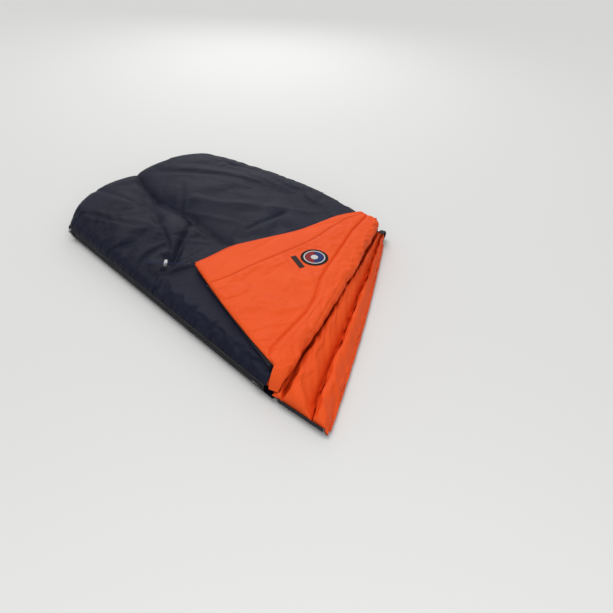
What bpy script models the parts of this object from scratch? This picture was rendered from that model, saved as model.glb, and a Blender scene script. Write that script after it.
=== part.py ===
"""Two-person mummy sleeping bag, laid out with its head panel turned down towards the foot.

Metres, +Z up.  +X points to the head, +Y to the closed long side, and the zip runs along the
-Y side.  The origin is the middle of the bag's footprint, on the surface that it lies on.
"""
import math

import bmesh
import bpy
from mathutils import Matrix, Vector

GAP = 0.0003                      # clearance between pieces that touch

# plan of the bag
FOOT_X = -0.788                   # foot end
HEAD_X = 0.7945                   # head end of the hood, on the zip side
SHOULDER_Y = -0.520               # zip-side edge at the shoulder
FOOT_NEAR_Y = -0.385              # zip-side edge at the foot
FAR_Y = 0.5294                    # widest point of the closed side
FAR_X = -0.10                     # where the closed side is widest
FAR_FOOT_LOSS = 0.120             # how much the closed side narrows at the foot
FAR_HEAD_LOSS = 0.045             # and at the gathered head corner
FOOT_ROUND = 0.110                # how far the foot's corners are rounded off
APEX = Vector((0.312, 0.488))     # corner where the hood is gathered
FOLD_NEAR = Vector((0.545, -0.500))
FOLD_FAR = Vector((0.285, 0.470))
MOUTH_SHIFT = 0.030               # how far the bottom runs past the fold

# heights of the layers
SEAM_Z = 0.032                    # side seam
RIM = 0.0076                      # thickness of each half at the side seam
BOTTOM_TOP = 0.025                # top of the bottom half
ROOF_Z = 0.060                    # underside of the top half
TOP_Z = 0.088                     # upper side of the top half, under the turned-down panel
LOBE_Z = 0.020                    # extra height of the two lobes over each sleeper's legs
VALLEY_Z = 0.010                  # depth of the valley between them
VALLEY_Y = -0.045
SHELL_T = 0.0020
LINING_T = 0.0018
SIDE_ROUND = 0.085                # width of the rounded edge

# turned-down panel
FOLD_Z = TOP_Z + 0.0015           # height of the fold line
FLAP_LOW = FOLD_Z + 0.0015
FLAP_HIGH = FLAP_LOW + 0.027
FLAP_START = 0.002                # distance of the panel from the fold line
HEM_NEAR = Vector((-0.030, -0.290))
HEM_FAR = Vector((0.205, 0.455))
HEM_BOW = 0.020
COLLAR_SHARE = 0.220              # share of the panel's length that is draft collar

# hood
HOOD_PLEATS = (0.0, 0.76, 1.0)    # where one pleat ends and the next starts, across the hood
PLEAT_Z = 0.055
PLEAT_LOW = 0.016
HOOD_NEAR_Y = -0.522

# zip
ZIP_OUT = 0.0105                  # chain line's distance from the bag's edge
COIL_R = 0.0021
COIL_Z = 0.0028                   # each coil's distance from the chain's middle
TAPE_T = 0.0012
TAPE_W = 0.0130
ZIP_FOOT_X = -0.640
ZIP_HEAD_X = 0.545

# collar cord and its lock
CORD_R = 0.0015
CORD_LENGTH = 0.150
CORD_START = Vector((-0.046, -0.299, 0.1045))
CORD_HEADING = math.radians(218)
LOCK_AT = 0.090                   # the lock's place along the cord
CHANNEL_R = 0.0045

SEAM_OUT = 0.0046                 # distance of the bound seam from the bag's edge

PARTS = "mummy_sleeping_bag"
CUTTERS = "cutters"

COLORS = {                        # base colour, roughness, metallic
    "navy_shell": ((0.020, 0.024, 0.043), 0.55, 0.0),
    "orange_lining": ((0.86, 0.10, 0.020), 0.60, 0.0),
    "white_fill": ((0.85, 0.85, 0.83), 0.90, 0.0),
    "black_tape": ((0.012, 0.012, 0.014), 0.70, 0.0),
    "coil_nylon": ((0.018, 0.018, 0.020), 0.40, 0.0),
    "dark_metal": ((0.10, 0.10, 0.11), 0.35, 0.9),
    "cord_blue": ((0.015, 0.025, 0.080), 0.75, 0.0),
    "pale_plastic": ((0.62, 0.64, 0.66), 0.35, 0.0),
    "spring_steel": ((0.50, 0.50, 0.50), 0.30, 1.0),
    "patch_black": ((0.012, 0.011, 0.012), 0.80, 0.0),
    "patch_white": ((0.75, 0.74, 0.72), 0.80, 0.0),
    "patch_red": ((0.28, 0.020, 0.030), 0.80, 0.0),
    "patch_blue": ((0.020, 0.030, 0.14), 0.80, 0.0),
}


def clear_scene():
    for obj in list(bpy.data.objects):
        bpy.data.objects.remove(obj, do_unlink=True)


def collection(name):
    found = bpy.data.collections.get(name) or bpy.data.collections.new(name)
    if name not in bpy.context.scene.collection.children:
        bpy.context.scene.collection.children.link(found)
    return found


def material(obj, name):
    mat = bpy.data.materials.new(f"{obj.name}_{name}")
    mat.use_nodes = True
    color, roughness, metallic = COLORS[name]
    shader = mat.node_tree.nodes["Principled BSDF"]
    shader.inputs["Base Color"].default_value = (*color, 1.0)
    shader.inputs["Roughness"].default_value = roughness
    shader.inputs["Metallic"].default_value = metallic
    obj.data.materials.clear()
    obj.data.materials.append(mat)


def from_bmesh(bm, name, finish, where=PARTS):
    """Turn a bmesh into a named object; finish is None for a cutter."""
    mesh = bpy.data.meshes.new(name)
    bmesh.ops.recalc_face_normals(bm, faces=bm.faces)
    bm.to_mesh(mesh)
    bm.free()
    obj = bpy.data.objects.new(name, mesh)
    collection(where).objects.link(obj)
    if finish:
        material(obj, finish)
    else:
        obj.hide_render = True
        obj.display_type = "WIRE"
    return obj


def boolean(obj, tool, operation):
    step = obj.modifiers.new(f"{operation.lower()}_{tool.name}", "BOOLEAN")
    step.operation = operation
    step.solver = "EXACT"
    step.object = tool


def smooth(t):
    t = min(max(t, 0.0), 1.0)
    return t * t * (3 - 2 * t)


def mix(a, b, t):
    return a + (b - a) * t


# ---- plan outline -------------------------------------------------------------------------

def near_edge(x):
    share = (x - FOOT_X) / (ZIP_HEAD_X - FOOT_X)
    return mix(FOOT_NEAR_Y, SHOULDER_Y, share)


def far_edge(x):
    if x < FAR_X:
        return FAR_Y - FAR_FOOT_LOSS * ((x - FAR_X) / (FOOT_X - FAR_X)) ** 2
    return FAR_Y - FAR_HEAD_LOSS * ((x - FAR_X) / (FOLD_FAR.x - FAR_X)) ** 2


def fold_x(v, shift):
    return mix(FOLD_NEAR.x, FOLD_FAR.x, v) + shift * (1 - 0.5 * v)


def foot_x(v):
    return FOOT_X + FOOT_ROUND * abs(2 * v - 1) ** 3.5


def body_place(shift):
    """Plan position of a point of the body: u runs foot to head, v zip side to closed side."""
    def place(u, v):
        across = v - 0.045 * math.sin(2 * math.pi * v)      # rows close up at the edges
        along = u ** 1.5 * (1 - u) + u * u
        x = mix(foot_x(across), fold_x(across, shift), along)
        return x, mix(near_edge(x), far_edge(x), across)
    return place


def edge_rise(x, y):
    """0 on the side and foot seams, 1 where the layers have their full loft."""
    across = (y - near_edge(x)) / (far_edge(x) - near_edge(x))
    rise = 1.0
    distances = (x - foot_x(min(max(across, 0), 1)), y - near_edge(x), far_edge(x) - y)
    for distance in distances:
        share = min(max(distance / SIDE_ROUND, 0.0), 1.0)
        rise *= math.sqrt(1 - (1 - share) ** 2)
    return rise


def top_height(x, y):
    half = 0.5 * (far_edge(x) - near_edge(x))
    lobe = math.sin(math.pi * min(abs(y - VALLEY_Y) / half, 1.0)) ** 0.8
    legs = smooth((-0.09 - x) / 0.22)
    return TOP_Z - 0.001 + legs * (LOBE_Z * lobe - VALLEY_Z * (1 - lobe))


# ---- stacks of layers ---------------------------------------------------------------------

def bottom_stack(x, y):
    rise = edge_rise(x, y)
    return mix(SEAM_Z - RIM, 0.0, rise), mix(SEAM_Z, BOTTOM_TOP, rise)


def top_stack(x, y):
    rise = edge_rise(x, y)
    return mix(SEAM_Z + GAP, ROOF_Z, rise), mix(SEAM_Z + GAP + RIM, top_height(x, y), rise)


def layer_bounds(stack, layer, shell_below):
    """The lower and upper height of one layer of a stack, as two functions of x and y."""
    below, above = (SHELL_T, LINING_T) if shell_below else (LINING_T, SHELL_T)

    def low(x, y):
        z0, z1 = stack(x, y)
        return {"below": z0, "fill": z0 + below + GAP, "above": z1 - above}[layer]

    def high(x, y):
        z0, z1 = stack(x, y)
        return {"below": z0 + below, "fill": z1 - above - GAP, "above": z1}[layer]
    return low, high


def quilt(name, finish, place, low, high, rows, columns):
    """A sheet over the unit square, laid out in plan and given its lower and upper heights."""
    bm = bmesh.new()
    bmesh.ops.create_grid(bm, x_segments=rows, y_segments=columns, size=0.5)
    grown = bmesh.ops.extrude_face_region(bm, geom=bm.faces[:])["geom"]
    upper = {item for item in grown if isinstance(item, bmesh.types.BMVert)}
    for vert in bm.verts:
        x, y = place(vert.co.x + 0.5, vert.co.y + 0.5)
        z = high(x, y) if vert in upper else low(x, y)
        vert.co = (x, y, z)
    return from_bmesh(bm, name, finish)


def three_layers(prefix, place, stack, shell_below, rows, columns):
    order = ("shell", "insulation", "lining") if shell_below else ("lining", "insulation", "shell")
    finish = {"shell": "navy_shell", "insulation": "white_fill", "lining": "orange_lining"}
    for kind, layer in zip(order, ("below", "fill", "above")):
        low, high = layer_bounds(stack, layer, shell_below)
        quilt(f"{prefix}_{kind}", finish[kind], place, low, high, rows, columns)


# ---- turned-down panel --------------------------------------------------------------------

FOLD_ALONG = (FOLD_FAR - FOLD_NEAR).normalized()
FOLD_ACROSS = Vector((-FOLD_ALONG.y, FOLD_ALONG.x))          # towards the foot


def hem_point(v):
    straight = HEM_NEAR.lerp(HEM_FAR, v)
    return straight + FOLD_ACROSS * HEM_BOW * 4 * v * (1 - v)


def flap_point(u, v):
    start = FOLD_NEAR.lerp(FOLD_FAR, 0.01 + 0.97 * v) + FOLD_ACROSS * FLAP_START
    return start.lerp(hem_point(v), u)


def flap_place(start, end):
    def place(u, v):
        point = flap_point(mix(start, end, u), v)
        return point.x, point.y
    return place


def flap_stack(x, y):
    return FLAP_LOW, FLAP_HIGH


def collar_bounds():
    def low(x, y):
        return FLAP_LOW

    def high(x, y):
        return FLAP_HIGH - 0.002
    return low, high


# ---- hood ---------------------------------------------------------------------------------

def hood_place(u, v):
    """u runs across the pleats from the mouth to the head end, v from the zip side to the apex."""
    near_x = mix(FOLD_NEAR.x + MOUTH_SHIFT + 0.006, HEAD_X, u)
    far = APEX + Vector((mix(0.004, 0.026, u), mix(-0.036, -0.066, u)))
    return mix(near_x, far.x, v), mix(HOOD_NEAR_Y, far.y, v)


def hood_share(x, y):
    """The u that hood_place has at a plan position."""
    v = 0.5
    u = 0.5
    for _ in range(12):
        px, py = hood_place(u, v)
        width = hood_place(1, v)[0] - hood_place(0, v)[0]
        u += (x - px) / width
        v += (y - py) / (APEX.y - HOOD_NEAR_Y)
    return u, v


def hood_height(x, y):
    u, v = hood_share(x, y)
    u = min(max(u, 0.0), 1.0)
    for start, end in zip(HOOD_PLEATS, HOOD_PLEATS[1:]):
        if u <= end + 1e-6:
            ridge = math.sin(math.pi * (u - start) / (end - start)) if u > start else 0.0
            break
    flat = mix(PLEAT_LOW + 0.006, PLEAT_LOW, u)
    fade = 1 - 0.45 * smooth(v) - 0.35 * smooth((0.08 - v) / 0.08)
    return flat + (PLEAT_Z - flat) * max(ridge, 0.0) ** 0.75 * fade


def hood_stack(x, y):
    return 0.0, hood_height(x, y)


# ---- small parts --------------------------------------------------------------------------

def block(bm, size, centre):
    made = bmesh.ops.create_cube(bm, size=1.0)
    bmesh.ops.scale(bm, verts=made["verts"], vec=Vector(size))
    bmesh.ops.translate(bm, verts=made["verts"], vec=Vector(centre))


def box_object(name, finish, size, centre, turn=0.0, bevel=0.0, where=PARTS):
    bm = bmesh.new()
    block(bm, size, (0, 0, 0))
    obj = from_bmesh(bm, name, finish, where)
    obj.location = centre
    obj.rotation_euler = (0, 0, turn)
    if bevel:
        edge = obj.modifiers.new("rounded", "BEVEL")
        edge.width = bevel
        edge.segments = 1
    return obj


def cylinder(name, finish, radius, depth, centre, turn=(0, 0, 0), sides=32, where=PARTS):
    bm = bmesh.new()
    bmesh.ops.create_cone(bm, cap_ends=True, segments=sides, radius1=radius, radius2=radius,
                          depth=depth)
    obj = from_bmesh(bm, name, finish, where)
    obj.location = centre
    obj.rotation_euler = turn
    return obj


def tube(name, finish, points, radius, resolution=2, wall=0.0):
    """A tube along points; with a wall it is a sleeve that is open at both ends."""
    curve = bpy.data.curves.new(name, "CURVE")
    curve.dimensions = "3D"
    curve.bevel_depth = radius
    curve.bevel_resolution = resolution
    curve.use_fill_caps = wall == 0.0
    spline = curve.splines.new("POLY")
    spline.points.add(len(points) - 1)
    for target, point in zip(spline.points, points):
        target.co = (*point, 1.0)
    obj = bpy.data.objects.new(name, curve)
    collection(PARTS).objects.link(obj)
    material(obj, finish)
    if wall:
        sleeve = obj.modifiers.new("wall", "SOLIDIFY")
        sleeve.thickness = wall
        sleeve.offset = -1.0
    return obj


def turned(offset, turn):
    return Matrix.Rotation(turn, 3, "Z") @ Vector(offset)


# ---- zip ----------------------------------------------------------------------------------

ZIP_TURN = math.atan2(near_edge(ZIP_HEAD_X) - near_edge(ZIP_FOOT_X), ZIP_HEAD_X - ZIP_FOOT_X)


def zip_point(x):
    """The chain's middle at a station along the bag."""
    return Vector((x, near_edge(x), SEAM_Z)) + turned((0, -ZIP_OUT, 0), ZIP_TURN)


def zip_strip(prefix, suffix, start, end, side):
    """One tape with its coil: side is 1 for the upper one and -1 for the lower one."""
    middle = (start + end) / 2
    length = (end - start).length
    turn = math.atan2(end.y - start.y, end.x - start.x)
    tape_z = side * (COIL_Z + COIL_R + GAP + TAPE_W / 2)
    box_object(f"{prefix}_tape{suffix}", "black_tape", (length, TAPE_T, TAPE_W),
               middle + Vector((0, 0, tape_z)), turn)
    coil_lift = Vector((0, 0, side * COIL_Z))
    tube(f"{prefix}_coil{suffix}", "coil_nylon", [start + coil_lift, end + coil_lift], COIL_R)


def body_zip():
    start = zip_point(ZIP_FOOT_X)
    end = zip_point(ZIP_HEAD_X - 0.010)
    zip_strip("zip", "_upper", start, end, 1)
    zip_strip("zip", "_lower", start, end, -1)
    stop = zip_point(ZIP_FOOT_X - 0.006)
    box_object("zip_foot_stop", "dark_metal", (0.009, 0.0052, 0.011), stop, ZIP_TURN, 0.0006)
    inside = [Vector((x, near_edge(x) + 0.066, 0.0445)) for x in (-0.60, -0.2, 0.2, 0.50)]
    tube("zip_draft_tube", "orange_lining", inside, 0.0110)


def hood_zip():
    start = Vector((FOLD_NEAR.x + MOUTH_SHIFT + 0.020, HOOD_NEAR_Y - 0.0105, SEAM_Z))
    end = Vector((HEAD_X - 0.020, start.y, SEAM_Z))
    zip_strip("hood_zip", "", start, end, -1)
    box_object("hood_zip_stop", "dark_metal", (0.006, 0.0052, 0.005),
               end + Vector((0.0036, 0, -COIL_Z)), 0.0, 0.0006)


def flap_zip():
    first = flap_point(0.02, 0.0)
    last = flap_point(1 - COLLAR_SHARE, 0.0)
    outward = Vector((last.y - first.y, first.x - last.x)).normalized()
    if outward.y > 0:
        outward = -outward
    level = (FLAP_LOW + FLAP_HIGH) / 2 - 0.004
    points = [Vector((*(p + outward * 0.0040), level)) for p in (first, last)]
    middle = (points[0] + points[1]) / 2
    length = (points[1] - points[0]).length
    turn = math.atan2(points[1].y - points[0].y, points[1].x - points[0].x)
    box_object("flap_zip_tape", "black_tape", (length, TAPE_T, TAPE_W), middle, turn)
    lift = Vector((*(outward * (COIL_R + TAPE_T / 2 + GAP)), -0.0035))
    tube("flap_zip_coil", "coil_nylon", [p + lift for p in points], COIL_R)
    end = points[1] + lift + (points[1] - points[0]).normalized() * 0.0034
    box_object("flap_zip_stop", "dark_metal", (0.006, 0.0052, 0.005), end, turn, 0.0006)


PLATE_T = 0.0016
PLATE_Y = COIL_R + 0.0007 + PLATE_T / 2
CROWN_TOP = PLATE_Y + PLATE_T / 2 + 0.0026
PULL_Y = PLATE_Y + PLATE_T / 2 + 0.0013


def slider(name, x):
    """Two plates joined by a thin bridge between the coils, with a crown for the pull."""
    bm = bmesh.new()
    block(bm, (0.016, PLATE_T, 0.0124), (0, -PLATE_Y, 0))
    body = from_bmesh(bm, name, "dark_metal")
    pieces = {
        "inner_plate": ((0.016, PLATE_T, 0.0124), (0, PLATE_Y, 0)),
        "bridge": ((0.005, 2 * PLATE_Y, 0.0008), (0.004, 0, 0)),
        "crown_front": ((0.0018, 0.0046, 0.0036), (0.0052, -CROWN_TOP + 0.0012, 0)),
        "crown_back": ((0.0018, 0.0046, 0.0036), (-0.0052, -CROWN_TOP + 0.0012, 0)),
        "crown_bar": ((0.0122, 0.0012, 0.0036), (0, -CROWN_TOP - 0.0006, 0)),
    }
    body.location = zip_point(x)
    body.rotation_euler = (0, 0, ZIP_TURN)
    for part, (size, centre) in pieces.items():
        bm = bmesh.new()
        block(bm, size, centre)
        tool = from_bmesh(bm, f"{name}_{part}", None, CUTTERS)
        tool.location = body.location
        tool.rotation_euler = body.rotation_euler
        boolean(body, tool, "UNION")
    return body


def pull(name, x):
    """A flat tab with a window; the window's end bar turns under the slider's crown."""
    bm = bmesh.new()
    block(bm, (0.030, 0.0013, 0.0078), (-0.0141, 0, 0))
    tab = from_bmesh(bm, name, "dark_metal")
    tab.location = zip_point(x) + turned((0, -PULL_Y, 0), ZIP_TURN)
    tab.rotation_euler = (0, 0, ZIP_TURN)
    bm = bmesh.new()
    block(bm, (0.0085, 0.004, 0.0046), (-0.00525, 0, 0))
    window = from_bmesh(bm, f"{name}_window", None, CUTTERS)
    window.location = tab.location
    window.rotation_euler = tab.rotation_euler
    boolean(tab, window, "DIFFERENCE")
    return tab


# ---- collar cord --------------------------------------------------------------------------

CORD_DIR = Vector((math.cos(CORD_HEADING), math.sin(CORD_HEADING), 0.0))
ACROSS = Vector((CORD_DIR.y, -CORD_DIR.x, 0.0))              # the way the button is pushed
LOCK_CENTRE = CORD_START + CORD_DIR * LOCK_AT
BARREL_R = 0.0066
BORE_R = 0.0046
BUTTON_TRAVEL = 0.0030
SPRING_TURNS = 3


def cord_points():
    count = 20
    points = []
    for step in range(count + 1):
        along = CORD_LENGTH * step / count
        sag = 0.004 * smooth((along - 0.118) / 0.032)
        points.append(CORD_START + CORD_DIR * along - Vector((0, 0, sag)))
    return points


def collar_cord():
    points = cord_points()
    tube("collar_cord", "cord_blue", points, CORD_R)
    knot = points[-1] + CORD_DIR * 0.0047
    bm = bmesh.new()
    bmesh.ops.create_uvsphere(bm, u_segments=12, v_segments=8, radius=0.0042)
    from_bmesh(bm, "cord_knot", "cord_blue").location = knot


def across_cylinder(name, finish, radius, start, end, sides, where=PARTS):
    """A round piece square to the cord, between two distances from the cord's middle."""
    centre = LOCK_CENTRE + ACROSS * (start + end) / 2
    turn = (math.pi / 2, 0, CORD_HEADING)
    return cylinder(name, finish, radius, end - start, centre, turn, sides, where)


def cord_lock():
    """A barrel with a sprung button; both have a hole that the cord runs through."""
    barrel = across_cylinder("cord_lock_barrel", "pale_plastic", BARREL_R, -0.008, 0.012, 24)
    boolean(barrel, across_cylinder("lock_bore", None, BORE_R, -0.010, 0.0105, 20, CUTTERS),
            "DIFFERENCE")
    hole = cylinder("lock_cord_hole", None, CORD_R + 0.0006, 0.040, LOCK_CENTRE,
                    (0, math.pi / 2, CORD_HEADING), 12, CUTTERS)
    boolean(barrel, hole, "DIFFERENCE")
    stem_end = -0.008 - BUTTON_TRAVEL - 0.0012
    button = across_cylinder("cord_lock_button", "pale_plastic", BORE_R - GAP, stem_end, 0.0029, 20)
    head = across_cylinder("button_head", None, BARREL_R - 0.0006, stem_end - 0.003,
                           stem_end + 0.0005, 24, CUTTERS)
    boolean(button, head, "UNION")
    reach = CORD_R + GAP
    slot_width = 2 * reach + BUTTON_TRAVEL + GAP
    slot = box_object("button_slot", None, (0.040, slot_width, 2 * (reach + GAP)),
                      LOCK_CENTRE + ACROSS * (reach - slot_width / 2), CORD_HEADING, 0.0, CUTTERS)
    boolean(button, slot, "DIFFERENCE")
    points = []
    for step in range(SPRING_TURNS * 10 + 1):
        angle = 2 * math.pi * step / 10
        along = 0.0068 + 0.0030 * step / (SPRING_TURNS * 10)
        radial = CORD_DIR * math.cos(angle) + Vector((0, 0, math.sin(angle)))
        points.append(LOCK_CENTRE + ACROSS * along + radial * (BORE_R - 0.0010))
    tube("cord_lock_spring", "spring_steel", points, 0.0003, 1)


def cord_channel():
    """The sleeve along the collar's hem, with the cord's hidden run inside it and its eyelet."""
    points = []
    for step in range(15):
        p = hem_point(0.015 + 0.96 * step / 14) + FOLD_ACROSS * (CHANNEL_R + 0.0012)
        points.append(Vector((p.x, p.y, CORD_START.z)))
    tube("collar_cord_channel", "orange_lining", points, CHANNEL_R, 2, 0.0014)
    tube("collar_cord_inside", "cord_blue", points[:-1], CORD_R)
    bm = bmesh.new()
    bmesh.ops.create_circle(bm, segments=8, radius=0.0010)
    bmesh.ops.rotate(bm, verts=bm.verts, matrix=Matrix.Rotation(math.pi / 2, 3, "X"))
    bmesh.ops.translate(bm, verts=bm.verts, vec=(0.0034, 0, 0))
    bmesh.ops.spin(bm, geom=bm.verts[:] + bm.edges[:], axis=(0, 0, 1), cent=(0, 0, 0),
                   angle=2 * math.pi, steps=20, use_merge=True)
    eyelet = from_bmesh(bm, "cord_eyelet", "dark_metal")
    eyelet.location = CORD_START + CORD_DIR * 0.004
    eyelet.rotation_euler = (0, math.pi / 2, CORD_HEADING)


# ---- patch, label, bindings ---------------------------------------------------------------

PATCH_CENTRE = Vector((0.281, 0.038, FLAP_HIGH))
PATCH_R = 0.052
PATCH_TURN = math.radians(37)
LABEL_CENTRE = Vector((0.252, -0.027, FLAP_HIGH))
LABEL_TURN = math.radians(-24)


def patch():
    """Round sewn-on patch: backing, ring, two half fields and a plain centre disc."""
    level = PATCH_CENTRE + Vector((0, 0, GAP + 0.0006))
    cylinder("patch_backing", "patch_black", PATCH_R, 0.0012, level, sides=40)
    level = level + Vector((0, 0, 0.0006 + GAP + 0.0004))
    ring = cylinder("patch_ring", "patch_white", PATCH_R * 0.80, 0.0008, level, sides=40)
    inside = cylinder("ring_hole", None, PATCH_R * 0.72, 0.004, level, sides=40, where=CUTTERS)
    boolean(ring, inside, "DIFFERENCE")
    centre_hole = cylinder("centre_hole", None, PATCH_R * 0.285, 0.004, level, sides=24,
                           where=CUTTERS)
    for name, finish, side in (("patch_head_half", "patch_blue", 1),
                               ("patch_foot_half", "patch_red", -1)):
        half = cylinder(name, finish, PATCH_R * 0.70, 0.0008, level, sides=40)
        keep = box_object(f"{name}_side", None, (0.2, 0.4, 0.01),
                          level + turned((side * (0.1 + GAP), 0, 0), PATCH_TURN), PATCH_TURN, 0.0,
                          CUTTERS)
        boolean(half, keep, "INTERSECT")
        boolean(half, centre_hole, "DIFFERENCE")
    cylinder("patch_centre", "patch_white", PATCH_R * 0.27, 0.0008, level, sides=24)


def label():
    box_object("label", "patch_black", (0.078, 0.021, 0.0012),
               LABEL_CENTRE + Vector((0, 0, GAP + 0.0006)), LABEL_TURN)


def side_seam():
    """The bound seam along the closed side and round the foot."""
    place = body_place(-0.002)
    stations = [(1 - step / 14, 1.0) for step in range(14)]
    stations += [(0.0, 1 - step / 12) for step in range(12)]
    line = [Vector(place(u, v)) for u, v in stations]
    points = []
    for index, point in enumerate(line):
        before = line[max(index - 1, 0)]
        after = line[min(index + 1, len(line) - 1)]
        along = (after - before).normalized()
        outward = Vector((-along.y, along.x)) * -1
        point = point + outward * SEAM_OUT
        points.append(Vector((point.x, point.y, SEAM_Z)))
    tube("side_seam_binding", "navy_shell", points, 0.0022)


def hood_edge():
    """The bound edge of the hood, and the webbing tab that gathers it at the far corner."""
    points = []
    for step in range(9):
        x, y = hood_place(1.0, 0.02 + 0.94 * step / 8)
        points.append(Vector((x + 0.0056, y, 0.0085)))
    tube("hood_edge_binding", "orange_lining", points, 0.0040)
    heading = math.atan2(APEX.y - points[-1].y, APEX.x - points[-1].x)
    box_object("head_corner_tab", "black_tape", (0.052, 0.022, 0.0024),
               (APEX.x - 0.004, APEX.y + 0.004, 0.046), heading, 0.0006)


# ---- assembly -----------------------------------------------------------------------------

SLIDERS = {"head": ZIP_HEAD_X - 0.030, "foot": ZIP_FOOT_X + 0.014}


def build():
    clear_scene()
    three_layers("bottom", body_place(MOUTH_SHIFT), bottom_stack, True, 16, 12)
    three_layers("top", body_place(-0.002), top_stack, False, 18, 14)
    three_layers("flap", flap_place(0.0, 1 - COLLAR_SHARE - 0.0006), flap_stack, True, 6, 8)
    low, high = collar_bounds()
    quilt("draft_collar", "orange_lining", flap_place(1 - COLLAR_SHARE + 0.0006, 1.0), low, high,
          2, 10)
    three_layers("hood", hood_place, hood_stack, True, 17, 6)
    body_zip()
    hood_zip()
    flap_zip()
    for end, x in SLIDERS.items():
        slider(f"zip_slider_{end}", x)
        pull(f"zip_pull_{end}", x)
    collar_cord()
    cord_lock()
    cord_channel()
    patch()
    label()
    side_seam()
    hood_edge()


build()
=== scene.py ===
import math

import bmesh
import bpy
import numpy as np
from mathutils import Matrix, Vector


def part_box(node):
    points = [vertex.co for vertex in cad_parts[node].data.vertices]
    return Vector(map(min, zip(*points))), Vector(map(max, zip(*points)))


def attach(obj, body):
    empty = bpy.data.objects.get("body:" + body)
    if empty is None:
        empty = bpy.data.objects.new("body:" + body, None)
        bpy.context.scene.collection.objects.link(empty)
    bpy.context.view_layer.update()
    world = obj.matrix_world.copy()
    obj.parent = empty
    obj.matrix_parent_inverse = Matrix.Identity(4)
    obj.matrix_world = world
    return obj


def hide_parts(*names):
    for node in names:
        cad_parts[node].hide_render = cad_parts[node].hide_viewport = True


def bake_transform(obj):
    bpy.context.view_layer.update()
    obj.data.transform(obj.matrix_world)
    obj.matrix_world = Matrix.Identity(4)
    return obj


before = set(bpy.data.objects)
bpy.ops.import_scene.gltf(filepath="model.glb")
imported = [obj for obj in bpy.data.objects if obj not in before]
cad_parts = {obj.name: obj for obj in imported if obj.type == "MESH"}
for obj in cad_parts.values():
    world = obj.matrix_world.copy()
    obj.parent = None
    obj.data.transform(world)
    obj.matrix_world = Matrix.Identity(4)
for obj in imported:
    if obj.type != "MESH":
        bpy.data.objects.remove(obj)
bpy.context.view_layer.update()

# ---- Camera -------------------------------------------------------------------------------
# A standing person's view from the zip side of the head end, looking down on the whole bag.
# The picture leans a few degrees, as a hand-held camera does.
CAMERA_AT = Vector((1.428, -1.534, 1.490))
CAMERA_AZIMUTH = math.radians(36.64)
CAMERA_ELEVATION = math.radians(39.72)
CAMERA_ROLL = math.radians(3.74)
CAMERA_LENS = 36.53
SENSOR_WIDTH = 36.0

back = Vector((math.sin(CAMERA_AZIMUTH) * math.cos(CAMERA_ELEVATION),
               -math.cos(CAMERA_AZIMUTH) * math.cos(CAMERA_ELEVATION),
               math.sin(CAMERA_ELEVATION)))
level = (-back).cross(Vector((0, 0, 1))).normalized()
upright = level.cross(-back)
camera_x = level * math.cos(CAMERA_ROLL) + upright * math.sin(CAMERA_ROLL)
camera_y = upright * math.cos(CAMERA_ROLL) - level * math.sin(CAMERA_ROLL)
camera = bpy.data.objects.new("camera", bpy.data.cameras.new("camera"))
camera.data.lens = CAMERA_LENS
camera.data.sensor_width = SENSOR_WIDTH
camera.matrix_world = Matrix.Translation(CAMERA_AT) @ Matrix(
    (camera_x, camera_y, back)).transposed().to_4x4()
bpy.context.scene.collection.objects.link(camera)
bpy.context.scene.camera = camera


# ---- Collar cord --------------------------------------------------------------------------
# Three-millimetre braided drawcord that leaves the corner of the draft collar through an
# eyelet, lies on the near lobe, passes through the cord lock and ends in a knot.
CORD_START = Vector((-0.046, -0.299, 0.1045))
CORD_HEADING = math.radians(218)
CORD_DIR = Vector((math.cos(CORD_HEADING), math.sin(CORD_HEADING), 0.0))
CORD_LENGTH = 0.150
CORD_R = 0.0015
BRAID_TURN = 0.004
KNOT_R = 0.00105


def smooth(t):
    """An S-shaped step from 0 to 1."""
    t = np.clip(t, 0.0, 1.0)
    return t * t * (3 - 2 * t)


def mix(a, b, t):
    """The value a share t of the way from a to b."""
    return a + (b - a) * t


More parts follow.
